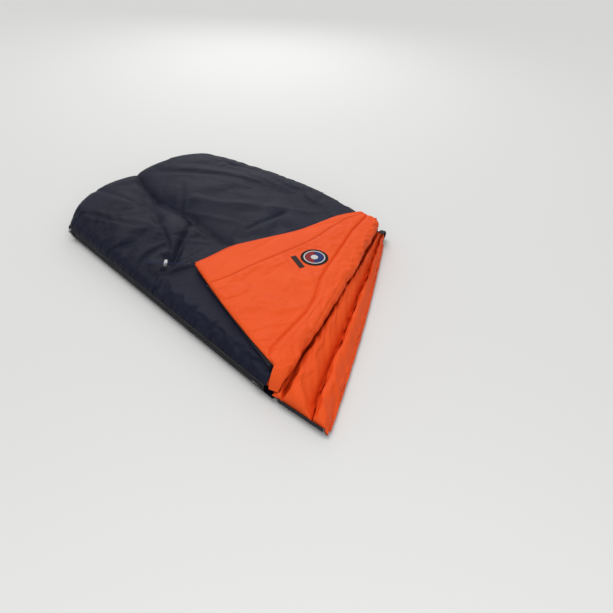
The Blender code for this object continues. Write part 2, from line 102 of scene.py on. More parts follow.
def tube_piece(name, path, radius, sides=12, flutes=0, flute_depth=0.0, lay=0.0):
    """A closed tube along path; its skin can carry twisted flutes, as a braid or gathers do."""
    path = np.asarray(path, float)
    count = len(path)
    along = np.gradient(path, axis=0)
    along /= np.linalg.norm(along, axis=1)[:, None]
    side = np.cross(along, (0.0, 0.0, 1.0))
    side /= np.maximum(np.linalg.norm(side, axis=1)[:, None], 1e-9)
    top = np.cross(side, along)
    run = np.concatenate([[0], np.cumsum(np.linalg.norm(np.diff(path, axis=0), axis=1))])
    turn = np.linspace(0, 2 * math.pi, sides, endpoint=False)
    bump = np.cos(flutes * turn[None, :] + lay * run[:, None])
    bump = bump * np.cos(flutes * turn[None, :] - lay * run[:, None]) if lay else bump
    spread = np.broadcast_to(np.asarray(radius, float), (count,))[:, None]
    spread = spread * (1 + flute_depth * bump)
    ring = (path[:, None, :] + spread[..., None] *
            (np.cos(turn)[None, :, None] * side[:, None, :] +
             np.sin(turn)[None, :, None] * top[:, None, :]))
    verts = [tuple(p) for p in ring.reshape(-1, 3)] + [tuple(path[0]), tuple(path[-1])]
    faces = []
    for i in range(count - 1):
        for j in range(sides):
            k = (j + 1) % sides
            faces.append((i * sides + j, i * sides + k, (i + 1) * sides + k, (i + 1) * sides + j))
    first, last = count * sides, count * sides + 1
    for j in range(sides):
        k = (j + 1) % sides
        faces.append((first, k, j))
        faces.append((last, (count - 1) * sides + j, (count - 1) * sides + k))
    mesh = bpy.data.meshes.new(name)
    mesh.from_pydata(verts, [], faces)
    uv = mesh.uv_layers.new(name="cloth")
    for polygon in mesh.polygons:
        for loop in polygon.loop_indices:
            index = mesh.loops[loop].vertex_index
            if index < count * sides:
                i, j = divmod(index, sides)
                uv.data[loop].uv = (run[i], j / sides * 2 * math.pi * 0.003)
    mesh.update()
    mesh.shade_smooth()
    obj = bpy.data.objects.new(name, mesh)
    bpy.context.scene.collection.objects.link(obj)
    bm = bmesh.new()
    bm.from_mesh(mesh)
    bmesh.ops.recalc_face_normals(bm, faces=bm.faces)
    bm.to_mesh(mesh)
    bm.free()
    return obj


def sew(obj, body, node_name=None):
    """Fix a finished piece to its body, and hide the CAD node it stands for."""
    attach(obj, body)
    if node_name:
        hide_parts(node_name)


def cord_point(along):
    """A point of the cord at a length from its eyelet; its end drops onto the shell."""
    sag = 0.004 * smooth((along - 0.118) / 0.032)
    return CORD_START + CORD_DIR * along - Vector((0, 0, float(sag)))


cord_line = [cord_point(CORD_LENGTH * step / 300) for step in range(301)]
collar_cord = tube_piece("drawcord", cord_line, CORD_R, 16, 4, 0.07,
                         2 * math.pi / BRAID_TURN)
knot_at = cord_point(CORD_LENGTH) + CORD_DIR * 0.0047
knot_line = []
for step in range(61):
    angle = 2 * math.pi * step / 60
    reach = 0.0024 + 0.0007 * math.cos(3 * angle)
    knot_line.append(knot_at + Vector((reach * math.cos(2 * angle), reach * math.sin(2 * angle),
                                       0.0010 * math.sin(3 * angle))))
cord_knot = tube_piece("drawcord_knot", knot_line, KNOT_R, 10)
sew(collar_cord, "flap", "collar_cord")
sew(cord_knot, "flap", "cord_knot")


# ---- Floor and studio light ---------------------------------------------------------------
# A plain pale floor under one broad sun and two large soft lamps.
# None of it belongs to the bag.
FLOOR_SIZE = 80
FLOOR_COLOR = (0.66, 0.66, 0.65)
FLOOR_DROP = 0.0005
SUN_POWER = 1.30
SUN_SPREAD = math.radians(38)
SUN_HEADING = Vector((0.42, -0.10, -1.0))
SKY_POWER = 0.62


def new_material(name):
    """A material with its node tree and its Principled shader."""
    mat = bpy.data.materials.new(name)
    mat.use_nodes = True
    return mat, mat.node_tree, mat.node_tree.nodes["Principled BSDF"]


paper, _, paper_shader = new_material("floor_paper")
paper_shader.inputs["Base Color"].default_value = (*FLOOR_COLOR, 1)
paper_shader.inputs["Roughness"].default_value = 0.9
bpy.ops.mesh.primitive_plane_add(size=FLOOR_SIZE, location=(0, 0, -FLOOR_DROP))
floor = bpy.context.object
floor.name = "floor"
floor.data.materials.append(paper)


def soft_light(name, at, aim, size, power):
    """A square lamp that points at aim."""
    lamp = bpy.data.objects.new(name, bpy.data.lights.new(name, "AREA"))
    lamp.data.shape = "SQUARE"
    lamp.data.size = size
    lamp.data.energy = power
    lamp.location = at
    lamp.rotation_euler = (Vector(aim) - Vector(at)).to_track_quat("-Z", "Y").to_euler()
    bpy.context.scene.collection.objects.link(lamp)


sun = bpy.data.objects.new("key_light", bpy.data.lights.new("key_light", "SUN"))
sun.data.energy = SUN_POWER
sun.data.angle = SUN_SPREAD
sun.rotation_euler = SUN_HEADING.to_track_quat("-Z", "Y").to_euler()
bpy.context.scene.collection.objects.link(sun)
soft_light("fill_light", (1.9, -1.9, 1.3), (0.2, 0, 0), 1.8, 13)
soft_light("back_light", (-1.8, 2.0, 1.5), (0, 0, 0), 1.6, 14)
world = bpy.context.scene.world or bpy.data.worlds.new("studio")
bpy.context.scene.world = world
world.use_nodes = True
sky = world.node_tree.nodes["Background"]
sky.inputs["Color"].default_value = (1.0, 1.0, 1.0, 1)
sky.inputs["Strength"].default_value = SKY_POWER
bpy.context.scene.view_settings.view_transform = "Standard"


# ---- Shell, lining and fill fabrics -------------------------------------------------------
# Navy ripstop nylon outside, smooth orange taffeta inside and white fibre fill between them.
# The weave, the ripstop grid and the fine crumple of loose cloth are shared by every fabric.
def group(name, inputs, outputs):
    """An empty shader group with named sockets: each input is (name, default value)."""
    tree = bpy.data.node_groups.new(name, "ShaderNodeTree")
    tree.interface.new_socket("Vector", in_out="INPUT", socket_type="NodeSocketVector")
    for label, value in inputs:
        made = tree.interface.new_socket(label, in_out="INPUT", socket_type="NodeSocketFloat")
        made.default_value = value
    for label, kind in outputs:
        tree.interface.new_socket(label, in_out="OUTPUT", socket_type=kind)
    return tree, tree.nodes.new("NodeGroupInput"), tree.nodes.new("NodeGroupOutput")


def node(tree, kind, links=None, **values):
    """Add a node, set its properties or default inputs, and link its inputs from sockets."""
    made = tree.nodes.new(kind)
    for key, value in values.items():
        setattr(made, key, value)
    for key, value in (links or {}).items():
        if isinstance(value, bpy.types.NodeSocket):
            tree.links.new(value, made.inputs[key])
        else:
            made.inputs[key].default_value = value
    return made


def math_node(tree, operation, first, second=0.0, third=None):
    """The output of a Math node on up to three numbers or sockets."""
    links = {0: first, 1: second}
    if third is not None:
        links[2] = third
    return node(tree, "ShaderNodeMath", links, operation=operation).outputs[0]


# weave: over-and-under threads, with a stronger ripstop thread at every Grid metres
weave, w_in, w_out = group("cloth_weave", [("Thread", 0.0007), ("Grid", 0.006),
                                           ("Grid Strength", 0.5)],
                           [("Height", "NodeSocketFloat"), ("Mask", "NodeSocketFloat")])
axes = node(weave, "ShaderNodeSeparateXYZ", {0: w_in.outputs["Vector"]})
threads = []
ribs = []
for axis in ("X", "Y"):
    pitch = math_node(weave, "DIVIDE", axes.outputs[axis], w_in.outputs["Thread"])
    threads.append(math_node(weave, "SINE", math_node(weave, "MULTIPLY", pitch, math.pi)))
    cell = math_node(weave, "DIVIDE", axes.outputs[axis], w_in.outputs["Grid"])
    saw = math_node(weave, "PINGPONG", cell, 0.5)
    ribs.append(math_node(weave, "SUBTRACT", 1.0, math_node(weave, "MULTIPLY", saw, 14.0)))
crossed = math_node(weave, "MULTIPLY", threads[0], threads[1])
rib = math_node(weave, "MAXIMUM", math_node(weave, "MAXIMUM", ribs[0], ribs[1]), 0.0)
raised = math_node(weave, "MULTIPLY", rib, w_in.outputs["Grid Strength"])
weave.links.new(math_node(weave, "MULTIPLY_ADD", crossed, 0.25, raised), w_out.inputs["Height"])
weave.links.new(raised, w_out.inputs["Mask"])

# crumple: broad and fine creases of loose cloth, and a slow drift of shade
crumple, c_in, c_out = group("cloth_crumple", [("Size", 0.05), ("Fine", 0.35)],
                             [("Height", "NodeSocketFloat"), ("Shade", "NodeSocketFloat")])
scaled = node(crumple, "ShaderNodeVectorMath", {0: c_in.outputs["Vector"]}, operation="SCALE")
crumple.links.new(math_node(crumple, "DIVIDE", 1.0, c_in.outputs["Size"]),
                  scaled.inputs["Scale"])
broad = node(crumple, "ShaderNodeTexNoise", {"Vector": scaled.outputs[0], "Scale": 1.0,
                                             "Detail": 3.0, "Roughness": 0.55,
                                             "Distortion": 0.8})
folds = node(crumple, "ShaderNodeTexNoise", {"Vector": scaled.outputs[0], "Scale": 3.1,
                                             "Detail": 2.0, "Distortion": 1.6})
ridge = math_node(crumple, "ABSOLUTE", math_node(crumple, "SUBTRACT", folds.outputs[0], 0.5))
fine = math_node(crumple, "MULTIPLY", ridge, c_in.outputs["Fine"])
crumple.links.new(math_node(crumple, "SUBTRACT", broad.outputs[0], fine), c_out.inputs["Height"])
drift = node(crumple, "ShaderNodeTexNoise", {"Vector": scaled.outputs[0], "Scale": 0.35,
                                             "Detail": 2.0})
crumple.links.new(drift.outputs[0], c_out.inputs["Shade"])


def creases(tree, size, place=None):
    """The crumple group at one size, on the piece's own coordinates."""
    if place is None:
        place = tree.nodes.new("ShaderNodeTexCoord").outputs["Object"]
    made = node(tree, "ShaderNodeGroup", node_tree=crumple)
    tree.links.new(place, made.inputs["Vector"])
    made.inputs["Size"].default_value = size
    return made.outputs["Height"], made.outputs["Shade"]


def two_tone(tree, share, dark, light):
    """Colour the shader between dark and light by a share."""
    tint = node(tree, "ShaderNodeMix", {0: share}, data_type="RGBA")
    tint.inputs[6].default_value = (*dark, 1)
    tint.inputs[7].default_value = (*light, 1)
    tree.links.new(tint.outputs[2], tree.nodes["Principled BSDF"].inputs["Base Color"])


def relief(tree, height, distance, strength):
    """Bump the shader's surface by a height."""
    bump = node(tree, "ShaderNodeBump", {"Height": height, "Distance": distance,
                                         "Strength": strength})
    tree.links.new(bump.outputs[0], tree.nodes["Principled BSDF"].inputs["Normal"])


def fabric(name, color, lit, roughness, sheen, gloss_level=0.22, grid_strength=0.5,
           thread=0.0007, grid=0.006, crumple_size=0.05, crumple_depth=0.004,
           weave_depth=0.00025):
    """A woven cloth: color, with a painted highlight towards lit on the raised ribs and a random
    drift of tone.
    """
    mat, tree, shader = new_material(name)
    shader.inputs["Sheen Weight"].default_value = sheen
    shader.inputs["Sheen Roughness"].default_value = 0.45
    shader.inputs["Sheen Tint"].default_value = (*lit, 1)
    shader.inputs["Specular IOR Level"].default_value = gloss_level
    place = tree.nodes.new("ShaderNodeTexCoord").outputs["Object"]
    woven = node(tree, "ShaderNodeGroup", node_tree=weave)
    tree.links.new(place, woven.inputs["Vector"])
    woven.inputs["Thread"].default_value = thread
    woven.inputs["Grid"].default_value = grid
    woven.inputs["Grid Strength"].default_value = grid_strength
    crease_height, drift_shade = creases(tree, crumple_size, place)
    # painted highlight: raised ripstop ribs are coloured a quarter of the way to lit; the drift is
    # random tone
    two_tone(tree, math_node(tree, "MULTIPLY_ADD", woven.outputs["Mask"], 0.25, drift_shade),
             color, lit)
    gloss = math_node(tree, "MULTIPLY_ADD", crease_height, 0.16, roughness - 0.08)
    tree.links.new(gloss, shader.inputs["Roughness"])
    soft = node(tree, "ShaderNodeBump", {"Height": crease_height, "Distance": crumple_depth,
                                         "Strength": 0.8})
    crisp = node(tree, "ShaderNodeBump", {"Height": woven.outputs["Height"],
                                          "Normal": soft.outputs[0],
                                          "Distance": weave_depth, "Strength": 0.7})
    tree.links.new(crisp.outputs[0], shader.inputs["Normal"])
    return mat


NAVY = (0.0040, 0.0049, 0.0130)
NAVY_LIT = (0.0080, 0.0096, 0.0255)
ORANGE = (0.70, 0.064, 0.0045)
ORANGE_LIT = (0.81, 0.090, 0.0085)
shell_cloth = fabric("navy_ripstop", NAVY, NAVY_LIT, 0.52, 0.02, 0.12, crumple_size=0.060,
                     crumple_depth=0.005)
lining_cloth = fabric("orange_taffeta", ORANGE, ORANGE_LIT, 0.66, 0.04, grid_strength=0.15,
                      crumple_size=0.055, crumple_depth=0.005)
fill_cloth = fabric("fibre_fill", (0.75, 0.75, 0.73), (0.9, 0.9, 0.88), 0.95, 0.4,
                    grid_strength=0.0, crumple_size=0.012, crumple_depth=0.006)


# ---- Body of the bag ----------------------------------------------------------------------
# Two halves sewn together round the closed side and the foot, each a shell, a fill and a
# lining.  The top half has a lobe over each sleeper's legs with a long valley between them.
FOOT_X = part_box("bottom_shell")[0].x
SEAM_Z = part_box("bottom_lining")[1].z
ROOF_Z = 0.060
BOTTOM_TOP = 0.025
TOP_Z = 0.088
SHOULDER_Y = -0.520
FOOT_NEAR_Y = -0.385
FAR_Y = 0.5294
FAR_X = -0.10
ZIP_HEAD_X = 0.545
ZIP_FOOT_X = -0.640
ZIP_OUT = 0.0105
FOLD_NEAR = np.array((0.545, -0.500))
FOLD_FAR = np.array((0.285, 0.470))
FOLD_Z = TOP_Z + 0.0015


def near_edge(x):
    """The straight zip side."""
    return mix(FOOT_NEAR_Y, SHOULDER_Y, (x - FOOT_X) / (ZIP_HEAD_X - FOOT_X))


def far_edge(x):
    """The closed side, widest at the sleepers' hips."""
    to_foot = FAR_Y - 0.120 * ((x - FAR_X) / (FOOT_X - FAR_X)) ** 2
    to_head = FAR_Y - 0.045 * ((x - FAR_X) / (FOLD_FAR[0] - FAR_X)) ** 2
    return np.where(x < FAR_X, to_foot, to_head)


def foot_edge(v):
    """The foot end, with rounded corners."""
    return FOOT_X + 0.110 * np.abs(2 * v - 1) ** 3.5


def crowd(v):
    """Spread columns so that they stand closer together at both edges."""
    return v - 0.045 * np.sin(2 * math.pi * v)


def round_over(distance, width):
    """0 at an edge and 1 from width inwards, on a quarter of a circle."""
    return np.sqrt(1 - (1 - np.clip(distance / width, 0, 1)) ** 2)


def body_plan(u, v, shift):
    """Plan position: u runs from the foot to the head end, v from the zip to the closed side."""
    across = crowd(v)
    along = u ** 1.5 * (1 - u) + u * u
    head = mix(FOLD_NEAR[0], FOLD_FAR[0], across) + shift * (1 - 0.5 * across)
    x = mix(foot_edge(across), head, along)
    return x, mix(near_edge(x), far_edge(x), across)


def edge_rise(x, y, width=0.085):
    """0 on the seams and 1 where the layers have their full loft."""
    across = np.clip((y - near_edge(x)) / (far_edge(x) - near_edge(x)), 0, 1)
    rise = 1.0
    for distance in (x - foot_edge(across), y - near_edge(x), far_edge(x) - y):
        rise = rise * round_over(distance, width)
    return rise


def crease(x, y, start, end, width, depth, fade=0.06):
    """A valley (or a ridge, with a negative depth) along a straight line in plan."""
    start, end = np.array(start), np.array(end)
    run = end - start
    length = np.hypot(*run)
    run = run / length
    along = (x - start[0]) * run[0] + (y - start[1]) * run[1]
    off = (x - start[0]) * -run[1] + (y - start[1]) * run[0]
    ends = smooth((along + fade) / fade) * smooth((length + fade - along) / fade)
    return -depth * ends * np.exp(-np.abs(off / width) ** 1.5)


VALLEY = [(-0.74, 0.02), (-0.62, -0.03), (-0.51, -0.065), (-0.34, -0.050), (-0.18, -0.078),
          (-0.05, -0.085)]
SHELL_CREASES = [                              # start, end, width, depth
    ((-0.56, -0.08), (-0.37, -0.18), 0.022, 0.011),
    ((-0.37, -0.18), (-0.15, -0.30), 0.018, 0.012),
    ((-0.27, -0.09), (-0.14, -0.29), 0.016, 0.011),
    ((-0.14, -0.30), (-0.05, -0.43), 0.020, 0.009),
    ((-0.20, -0.19), (-0.12, -0.11), 0.010, -0.005),
    ((-0.07, -0.47), (-0.09, -0.24), 0.020, -0.006),
    ((0.08, -0.32), (0.04, -0.47), 0.012, 0.006),
    ((0.16, -0.36), (0.12, -0.49), 0.012, 0.006),
    ((0.26, -0.41), (0.24, -0.50), 0.010, 0.005),
    ((-0.34, -0.03), (-0.18, 0.03), 0.010, -0.005),
    ((-0.07, 0.05), (-0.04, 0.22), 0.014, 0.007),
    ((-0.41, 0.00), (-0.10, 0.22), 0.030, -0.007),
    ((-0.10, 0.22), (0.05, 0.34), 0.026, -0.005),
    ((-0.39, -0.03), (-0.49, 0.07), 0.012, 0.006),
    ((-0.66, 0.10), (-0.50, 0.24), 0.020, 0.006),
    ((-0.72, -0.20), (-0.50, -0.14), 0.018, 0.006),
    ((-0.60, -0.34), (-0.40, -0.28), 0.016, 0.006),
    ((-0.36, -0.42), (-0.28, -0.30), 0.012, 0.005),
    ((-0.20, -0.45), (-0.22, -0.33), 0.012, 0.005),
]
VALLEY_DEPTH = 0.026
LOBE_HEIGHT = 0.020
QUILT_SEAMS_X = (-0.60, -0.42, -0.24, -0.06, 0.12, 0.30)
QUILT_DEPTH = 0.0026
RIM_HALF = 0.0012
TAPE_REACH = 0.0166
CLOTH_T = 0.0009


def valley_line(x):
    """Where the valley between the two lobes runs across the bag."""
    points = np.array(VALLEY)
    return np.interp(x, points[:, 0], points[:, 1])


def shell_height(x, y):
    """Height of the top shell over its flat loft, with its lobes, valley and creases."""
    half = 0.5 * (far_edge(x) - near_edge(x))
    lobe = np.sin(math.pi * np.clip(np.abs(y - valley_line(x)) / half, 0, 1)) ** 0.8
    legs = smooth((-0.09 - x) / 0.22)
    height = TOP_Z - 0.001 + legs * LOBE_HEIGHT * lobe
    off = y - valley_line(x)
    reach = smooth((0.00 - x) / 0.10) * smooth((x + 0.77) / 0.10)
    spread = np.where(off > 0, 0.030, 0.045)
    height = height - VALLEY_DEPTH * reach * np.exp(-np.abs(off / spread))
    for start, end, width, depth in SHELL_CREASES:
        height = height + crease(x, y, start, end, width, depth)
    return height


def zip_share(x):
    """0 at the closed foot corner and 1 along the zip."""
    return smooth((x - ZIP_FOOT_X + 0.016) / 0.018)


def underside(x, y):
    """The flat underside, drawn in a little along its cross-wise quilting seams."""
    tuck = sum(np.exp(-((x - at - 0.03 * np.cos(5 * y)) / 0.006) ** 2)
               for at in QUILT_SEAMS_X)
    return 0.0002 + QUILT_DEPTH * tuck


def body_skin(side, u, v, shift):
    """Grid points of the top (side 1) or bottom (side -1) shell, drawn out to the zip tape."""
    x, y = body_plan(u, v, shift)
    rise = edge_rise(x, y)
    rim_z = SEAM_Z + side * RIM_HALF
    tape_z = SEAM_Z + side * TAPE_REACH
    rim = np.where(v < 0.5, mix(rim_z, tape_z, zip_share(x)), rim_z)
    full = shell_height(x, y) if side > 0 else underside(x, y)
    z = mix(rim, full, rise)
    out = (ZIP_OUT + CLOTH_T) * zip_share(x) * np.exp(-(y - near_edge(x)) / 0.018)
    return np.stack([x, y - out, z], axis=-1)


def grid_uv(points):
    """Cloth coordinates in metres, measured along the middle row and column."""
    middle_row = points[:, points.shape[1] // 2]
    middle_column = points[points.shape[0] // 2]
    runs = []
    for line in (middle_row, middle_column):
        steps = np.linalg.norm(np.diff(line, axis=0), axis=1)
        runs.append(np.concatenate([[0], np.cumsum(steps)]))
    return np.stack(np.meshgrid(runs[0], runs[1], indexing="ij"), axis=-1)


def grid_piece(name, points, cloth, under=None, flip=False):
    """A mesh over a grid of points; with a second grid it is a closed body between the two."""
    rows, columns = points.shape[:2]
    index = np.arange(rows * columns).reshape(rows, columns)
    quads = np.stack([index[:-1, :-1], index[1:, :-1], index[1:, 1:], index[:-1, 1:]], -1)
    quads = quads.reshape(-1, 4)
    if flip:
        quads = quads[:, ::-1]
    verts = points.reshape(-1, 3)
    uv = grid_uv(points).reshape(-1, 2)
    if under is not None:
        total = rows * columns
        rim = np.concatenate([index[:, 0], index[-1, 1:], index[-2::-1, -1], index[0, -2:0:-1]])
        after = np.roll(rim, -1)
        walls = np.stack([rim, after, after + total, rim + total], -1)
        quads = np.concatenate([quads, quads[:, ::-1] + total, walls[:, ::-1] if flip else walls])
        verts = np.concatenate([verts, under.reshape(-1, 3)])
        uv = np.concatenate([uv, uv])
    mesh = bpy.data.meshes.new(name)
    mesh.from_pydata(verts.tolist(), [], quads.tolist())
    layer = mesh.uv_layers.new(name="cloth")
    corner = np.zeros(len(mesh.loops), np.int32)
    mesh.loops.foreach_get("vertex_index", corner)
    layer.data.foreach_set("uv", uv[corner].astype(np.float32).ravel())
    if under is not None:
        bm = bmesh.new()
        bm.from_mesh(mesh)
        bmesh.ops.recalc_face_normals(bm, faces=bm.faces)
        bm.to_mesh(mesh)
        bm.free()
    mesh.shade_smooth()
    mesh.materials.append(cloth)
    obj = bpy.data.objects.new(name, mesh)
    bpy.context.scene.collection.objects.link(obj)
    return obj


def unit_grid(rows, columns):
    """Row and column shares of a grid, each from 0 to 1."""
    return np.meshgrid(np.linspace(0, 1, rows), np.linspace(0, 1, columns), indexing="ij")


def skin_finish(obj):
    """Give a sheet of cloth its thickness, on its inner side."""
    wall = obj.modifiers.new("cloth", "SOLIDIFY")
    wall.thickness = CLOTH_T
    wall.offset = -1.0


def vertex_spots(obj):
    """The vertices of a mesh as rows of x, y, z."""
    spots = np.empty(len(obj.data.vertices) * 3, np.float32)
    obj.data.vertices.foreach_get("co", spots)
    return spots.reshape(-1, 3)


def settle(obj, held, growth, reach, frames=20):
    """Let a slightly oversized cloth buckle between its held points, then keep the result.

    held is a weight of each vertex, growth the spare cloth and reach the furthest a point goes.
    """
    mesh = obj.data
    before = vertex_spots(obj)
    pins = obj.vertex_groups.new(name="held")
    for index, weight in enumerate(held.ravel()):
        if weight > 0.001:
            pins.add([index], float(min(weight, 1.0)), "REPLACE")
    cloth = obj.modifiers.new("settle", "CLOTH")
    settings = cloth.settings
    settings.quality = 4
    settings.mass = 0.12
    settings.tension_stiffness = 25
    settings.compression_stiffness = 25
    settings.shear_stiffness = 8
    settings.bending_stiffness = 0.9
    settings.air_damping = 3
    settings.shrink_min = -growth
    settings.vertex_group_mass = "held"
    settings.effector_weights.gravity = 0.0
    settings.use_pressure = False
    cloth.collision_settings.use_collision = False
    cloth.collision_settings.use_self_collision = False
    cloth.point_cache.frame_start = 1
    cloth.point_cache.frame_end = frames
    scene = bpy.context.scene
    for frame_number in range(1, frames + 1):
        scene.frame_set(frame_number)
    shown = obj.evaluated_get(bpy.context.evaluated_depsgraph_get()).data
    after = np.empty(before.size, np.float32)
    shown.vertices.foreach_get("co", after)
    obj.modifiers.remove(cloth)
    obj.vertex_groups.remove(pins)
    scene.frame_set(1)
    moved = after.reshape(-1, 3) - before
    length = np.linalg.norm(moved, axis=1, keepdims=True)
    moved = moved * np.minimum(1.0, reach / np.maximum(length, 1e-9))
    mesh.vertices.foreach_set("co", (before + moved).ravel())
    mesh.update()


SHELL_ROWS, SHELL_COLUMNS = 190, 130
u, v = unit_grid(SHELL_ROWS, SHELL_COLUMNS)
top_points = body_skin(1, u, v, -0.001)
top_shell = grid_piece("top_shell_cloth", top_points, shell_cloth)
loft = edge_rise(*body_plan(u, v, 0.0), width=0.06)
settle(top_shell, np.maximum(1.0 - loft, 0.0), 0.045, 0.012)
spots = vertex_spots(top_shell)
under_panel = spots[:, 0] > 0.3155 * spots[:, 1] + 0.045     # the part that the panel lies on
spots[under_panel, 2] = np.minimum(spots[under_panel, 2], TOP_Z - 0.0005)
top_shell.data.vertices.foreach_set("co", spots.ravel())
skin_finish(top_shell)
sew(top_shell, "bag", "top_shell")

u, v = unit_grid(150, 110)
bottom_points = body_skin(-1, u, v, 0.030)
bottom_shell = grid_piece("bottom_shell_cloth", bottom_points, shell_cloth, flip=True)
skin_finish(bottom_shell)
sew(bottom_shell, "bag", "bottom_shell")


def layer(name, node_name, slot, shift, low, high, cloth, inset=0.985):
    """A closed inner layer between two heights, each mixed from its seam value to its full one."""
    u, v = unit_grid(110, 80)
    x, y = body_plan(mix(1.0 - inset, 1.0, u), v, shift)
    rise = edge_rise(x, y)
    inset = mix(inset, 1.0, rise)
    middle = 0.5 * (near_edge(x) + far_edge(x))
    y = middle + (y - middle) * inset
    bounds = []
    for seam, full in (low, high):
        full = full(x, y) if callable(full) else full
        bounds.append(np.stack([x, y, mix(seam, full, rise)], axis=-1))
    sew(grid_piece(name, bounds[1], cloth, under=bounds[0]), "bag", node_name)


def roof(lift):
    """Height of an inner layer: the roof, sunk as far as the shell is in its valleys."""
    return lambda x, y: ROOF_Z + lift - np.maximum(TOP_Z - 0.001 - shell_height(x, y), 0.0)


layer("top_fill", "top_insulation", "white_fill", -0.016, (SEAM_Z + 0.004, roof(0.0025)),
      (SEAM_Z + 0.0045, roof(0.0060)), fill_cloth, 0.94)
layer("top_lining_cloth", "top_lining", "orange_lining", -0.002, (SEAM_Z + 0.0016, roof(0.0)),
      (SEAM_Z + 0.0026, roof(0.0016)), lining_cloth)
layer("bottom_fill", "bottom_insulation", "white_fill", 0.012, (SEAM_Z - 0.005, 0.0035),
      (SEAM_Z - 0.0045, BOTTOM_TOP - 0.003), fill_cloth, 0.94)
layer("bottom_lining_cloth", "bottom_lining", "orange_lining", 0.030,
      (SEAM_Z - 0.0030, BOTTOM_TOP - 0.0018), (SEAM_Z - 0.0016, BOTTOM_TOP), lining_cloth)

# ---- Turned-down panel --------------------------------------------------------------------
# The head part of the top half, folded back on itself so that its orange lining faces up and
# its navy shell lies on the bag.  Lining and shell are sewn together along the zip side.
HEM_NEAR = np.array((-0.030, -0.290))
HEM_FAR = np.array((0.205, 0.455))
FLAP_LOW = FOLD_Z + 0.0015
FLAP_HIGH = FLAP_LOW + 0.027
FLAP_MIDDLE = 0.1045
fold_along = (FOLD_FAR - FOLD_NEAR) / np.hypot(*(FOLD_FAR - FOLD_NEAR))
fold_across = np.array((-fold_along[1], fold_along[0]))
ARC = np.array([(0.515, -0.49), (0.49, -0.44), (0.48, -0.39), (0.47, -0.30), (0.46, -0.23),
                (0.43, -0.14), (0.38, -0.05), (0.35, 0.04), (0.31, 0.18), (0.27, 0.31),
                (0.245, 0.46)])
PATCH_AT = (0.27, 0.01)
PANEL_REACH = 0.57                             # mean length from the fold to the hem
ROLL_OVERLAP = -0.014                          # the lining starts this share inside the roll
PANEL_CREASES = [                              # start, end, width, depth
    ((0.344, -0.442), (0.412, -0.448), 0.007, 0.0035),
    ((0.430, -0.452), (0.455, -0.425), 0.006, 0.0030),
    ((0.470, -0.455), (0.505, -0.440), 0.006, 0.0032),
    ((0.330, -0.405), (0.385, -0.360), 0.009, 0.0020),
    ((0.205, -0.375), (0.230, -0.330), 0.008, 0.0022),
    ((0.078, -0.092), (0.080, 0.033), 0.008, 0.0024),
    ((0.192, -0.084), (0.208, 0.039), 0.007, 0.0018),
    ((0.208, 0.039), (0.229, 0.125), 0.007, 0.0020),
    ((0.110, 0.120), (0.185, 0.300), 0.010, 0.0022),
    ((0.150, 0.330), (0.215, 0.430), 0.008, 0.0026),
    ((0.240, 0.180), (0.235, 0.330), 0.010, 0.0022),
    ((0.360, -0.300), (0.300, -0.120), 0.030, -0.0016),
    ((0.080, -0.280), (0.050, -0.180), 0.012, 0.0018),
]
HEM_SHIFT = np.array([                         # share across, distance towards the foot
    (-0.1, 0.0), (0.0, 0.0), (0.107, 0.006), (0.255, 0.026), (0.39, 0.006), (0.50, -0.009),
    (0.60, -0.020), (0.70, -0.011), (0.80, 0.0), (0.88, 0.013), (1.0, -0.008), (1.1, -0.008)])


def hem_shift(v):
    """How far the free edge wanders from its even curve, towards the foot."""
    return sum(np.interp(v + step, *HEM_SHIFT.T) for step in (-0.04, -0.02, 0.0, 0.02, 0.04)) / 5


def flap_plan(u, v, bow=0.0):
    """Plan position on the panel: u runs from the fold to the hem, v from the zip side."""
    start = FOLD_NEAR + (FOLD_FAR - FOLD_NEAR) * (0.01 + 0.97 * v)[..., None]
    end = HEM_NEAR + (HEM_FAR - HEM_NEAR) * v[..., None]
    end = end + fold_across * (0.020 * 4 * v * (1 - v) + hem_shift(v))[..., None]
    point = start + (end - start) * u[..., None]
    point[..., 1] -= bow * np.sin(math.pi * u) * (1 - v) ** 3
    return point


def seam_share(v):
    """Where the collar's seam crosses the panel, as a share of the way to the hem."""
    return 0.78 - 0.085 * np.sin(math.pi * np.clip(v, 0, 1) ** 0.8)


def line_distance(x, y, line):
    """Signed distance in plan to a polyline, positive on the head side of a fold line."""
    best = np.full(x.shape, 9.0)
    sign = np.ones(x.shape)
    for start, end in zip(line, line[1:]):
        run = end - start
        length = np.hypot(*run)
        share = np.clip(((x - start[0]) * run[0] + (y - start[1]) * run[1]) / length ** 2, 0, 1)
        dx = x - start[0] - share * run[0]
        dy = y - start[1] - share * run[1]
        distance = np.hypot(dx, dy)
        closer = distance < best
        best = np.where(closer, distance, best)
        sign = np.where(closer, np.sign(run[1] * dx - run[0] * dy), sign)
    return best * sign


def ripple(t, waves):
    """A slow, uneven wave along an edge: each wave is (length, height, phase)."""
    return sum(height * np.sin(2 * math.pi * t / length + phase)
               for length, height, phase in waves)


def patch_distance(x, y):
    return np.hypot(x - PATCH_AT[0], y - PATCH_AT[1])


def panel_top(x, y):
    """Height of the panel's lining, with the long arc crease and its small ones."""
    off = line_distance(x, y, ARC)
    arc = -0.0105 * np.exp(-np.abs((off + 0.002) / 0.0050) ** 1.2)
    arc = arc + 0.0036 * np.exp(-((off - 0.020) / 0.016) ** 2)
    height = FLAP_HIGH - 0.0012 + arc
    height = height - 0.0030 * np.exp(-((off + 0.10) / 0.06) ** 2) * smooth((-0.1 - y) / 0.2)
    for start, end, width, depth in PANEL_CREASES:
        height = height + crease(x, y, start, end, width, depth, 0.03)
    slow = ripple(x, [(0.31, 0.0010, 0.4), (0.173, 0.0006, 1.9)])
    slow = slow + ripple(y, [(0.27, 0.0010, 2.2), (0.119, 0.0005, 0.3)])
    near_patch = smooth((0.075 - patch_distance(x, y)) / 0.03)
    return mix(height + slow, FLAP_HIGH + 0.0002, near_patch)


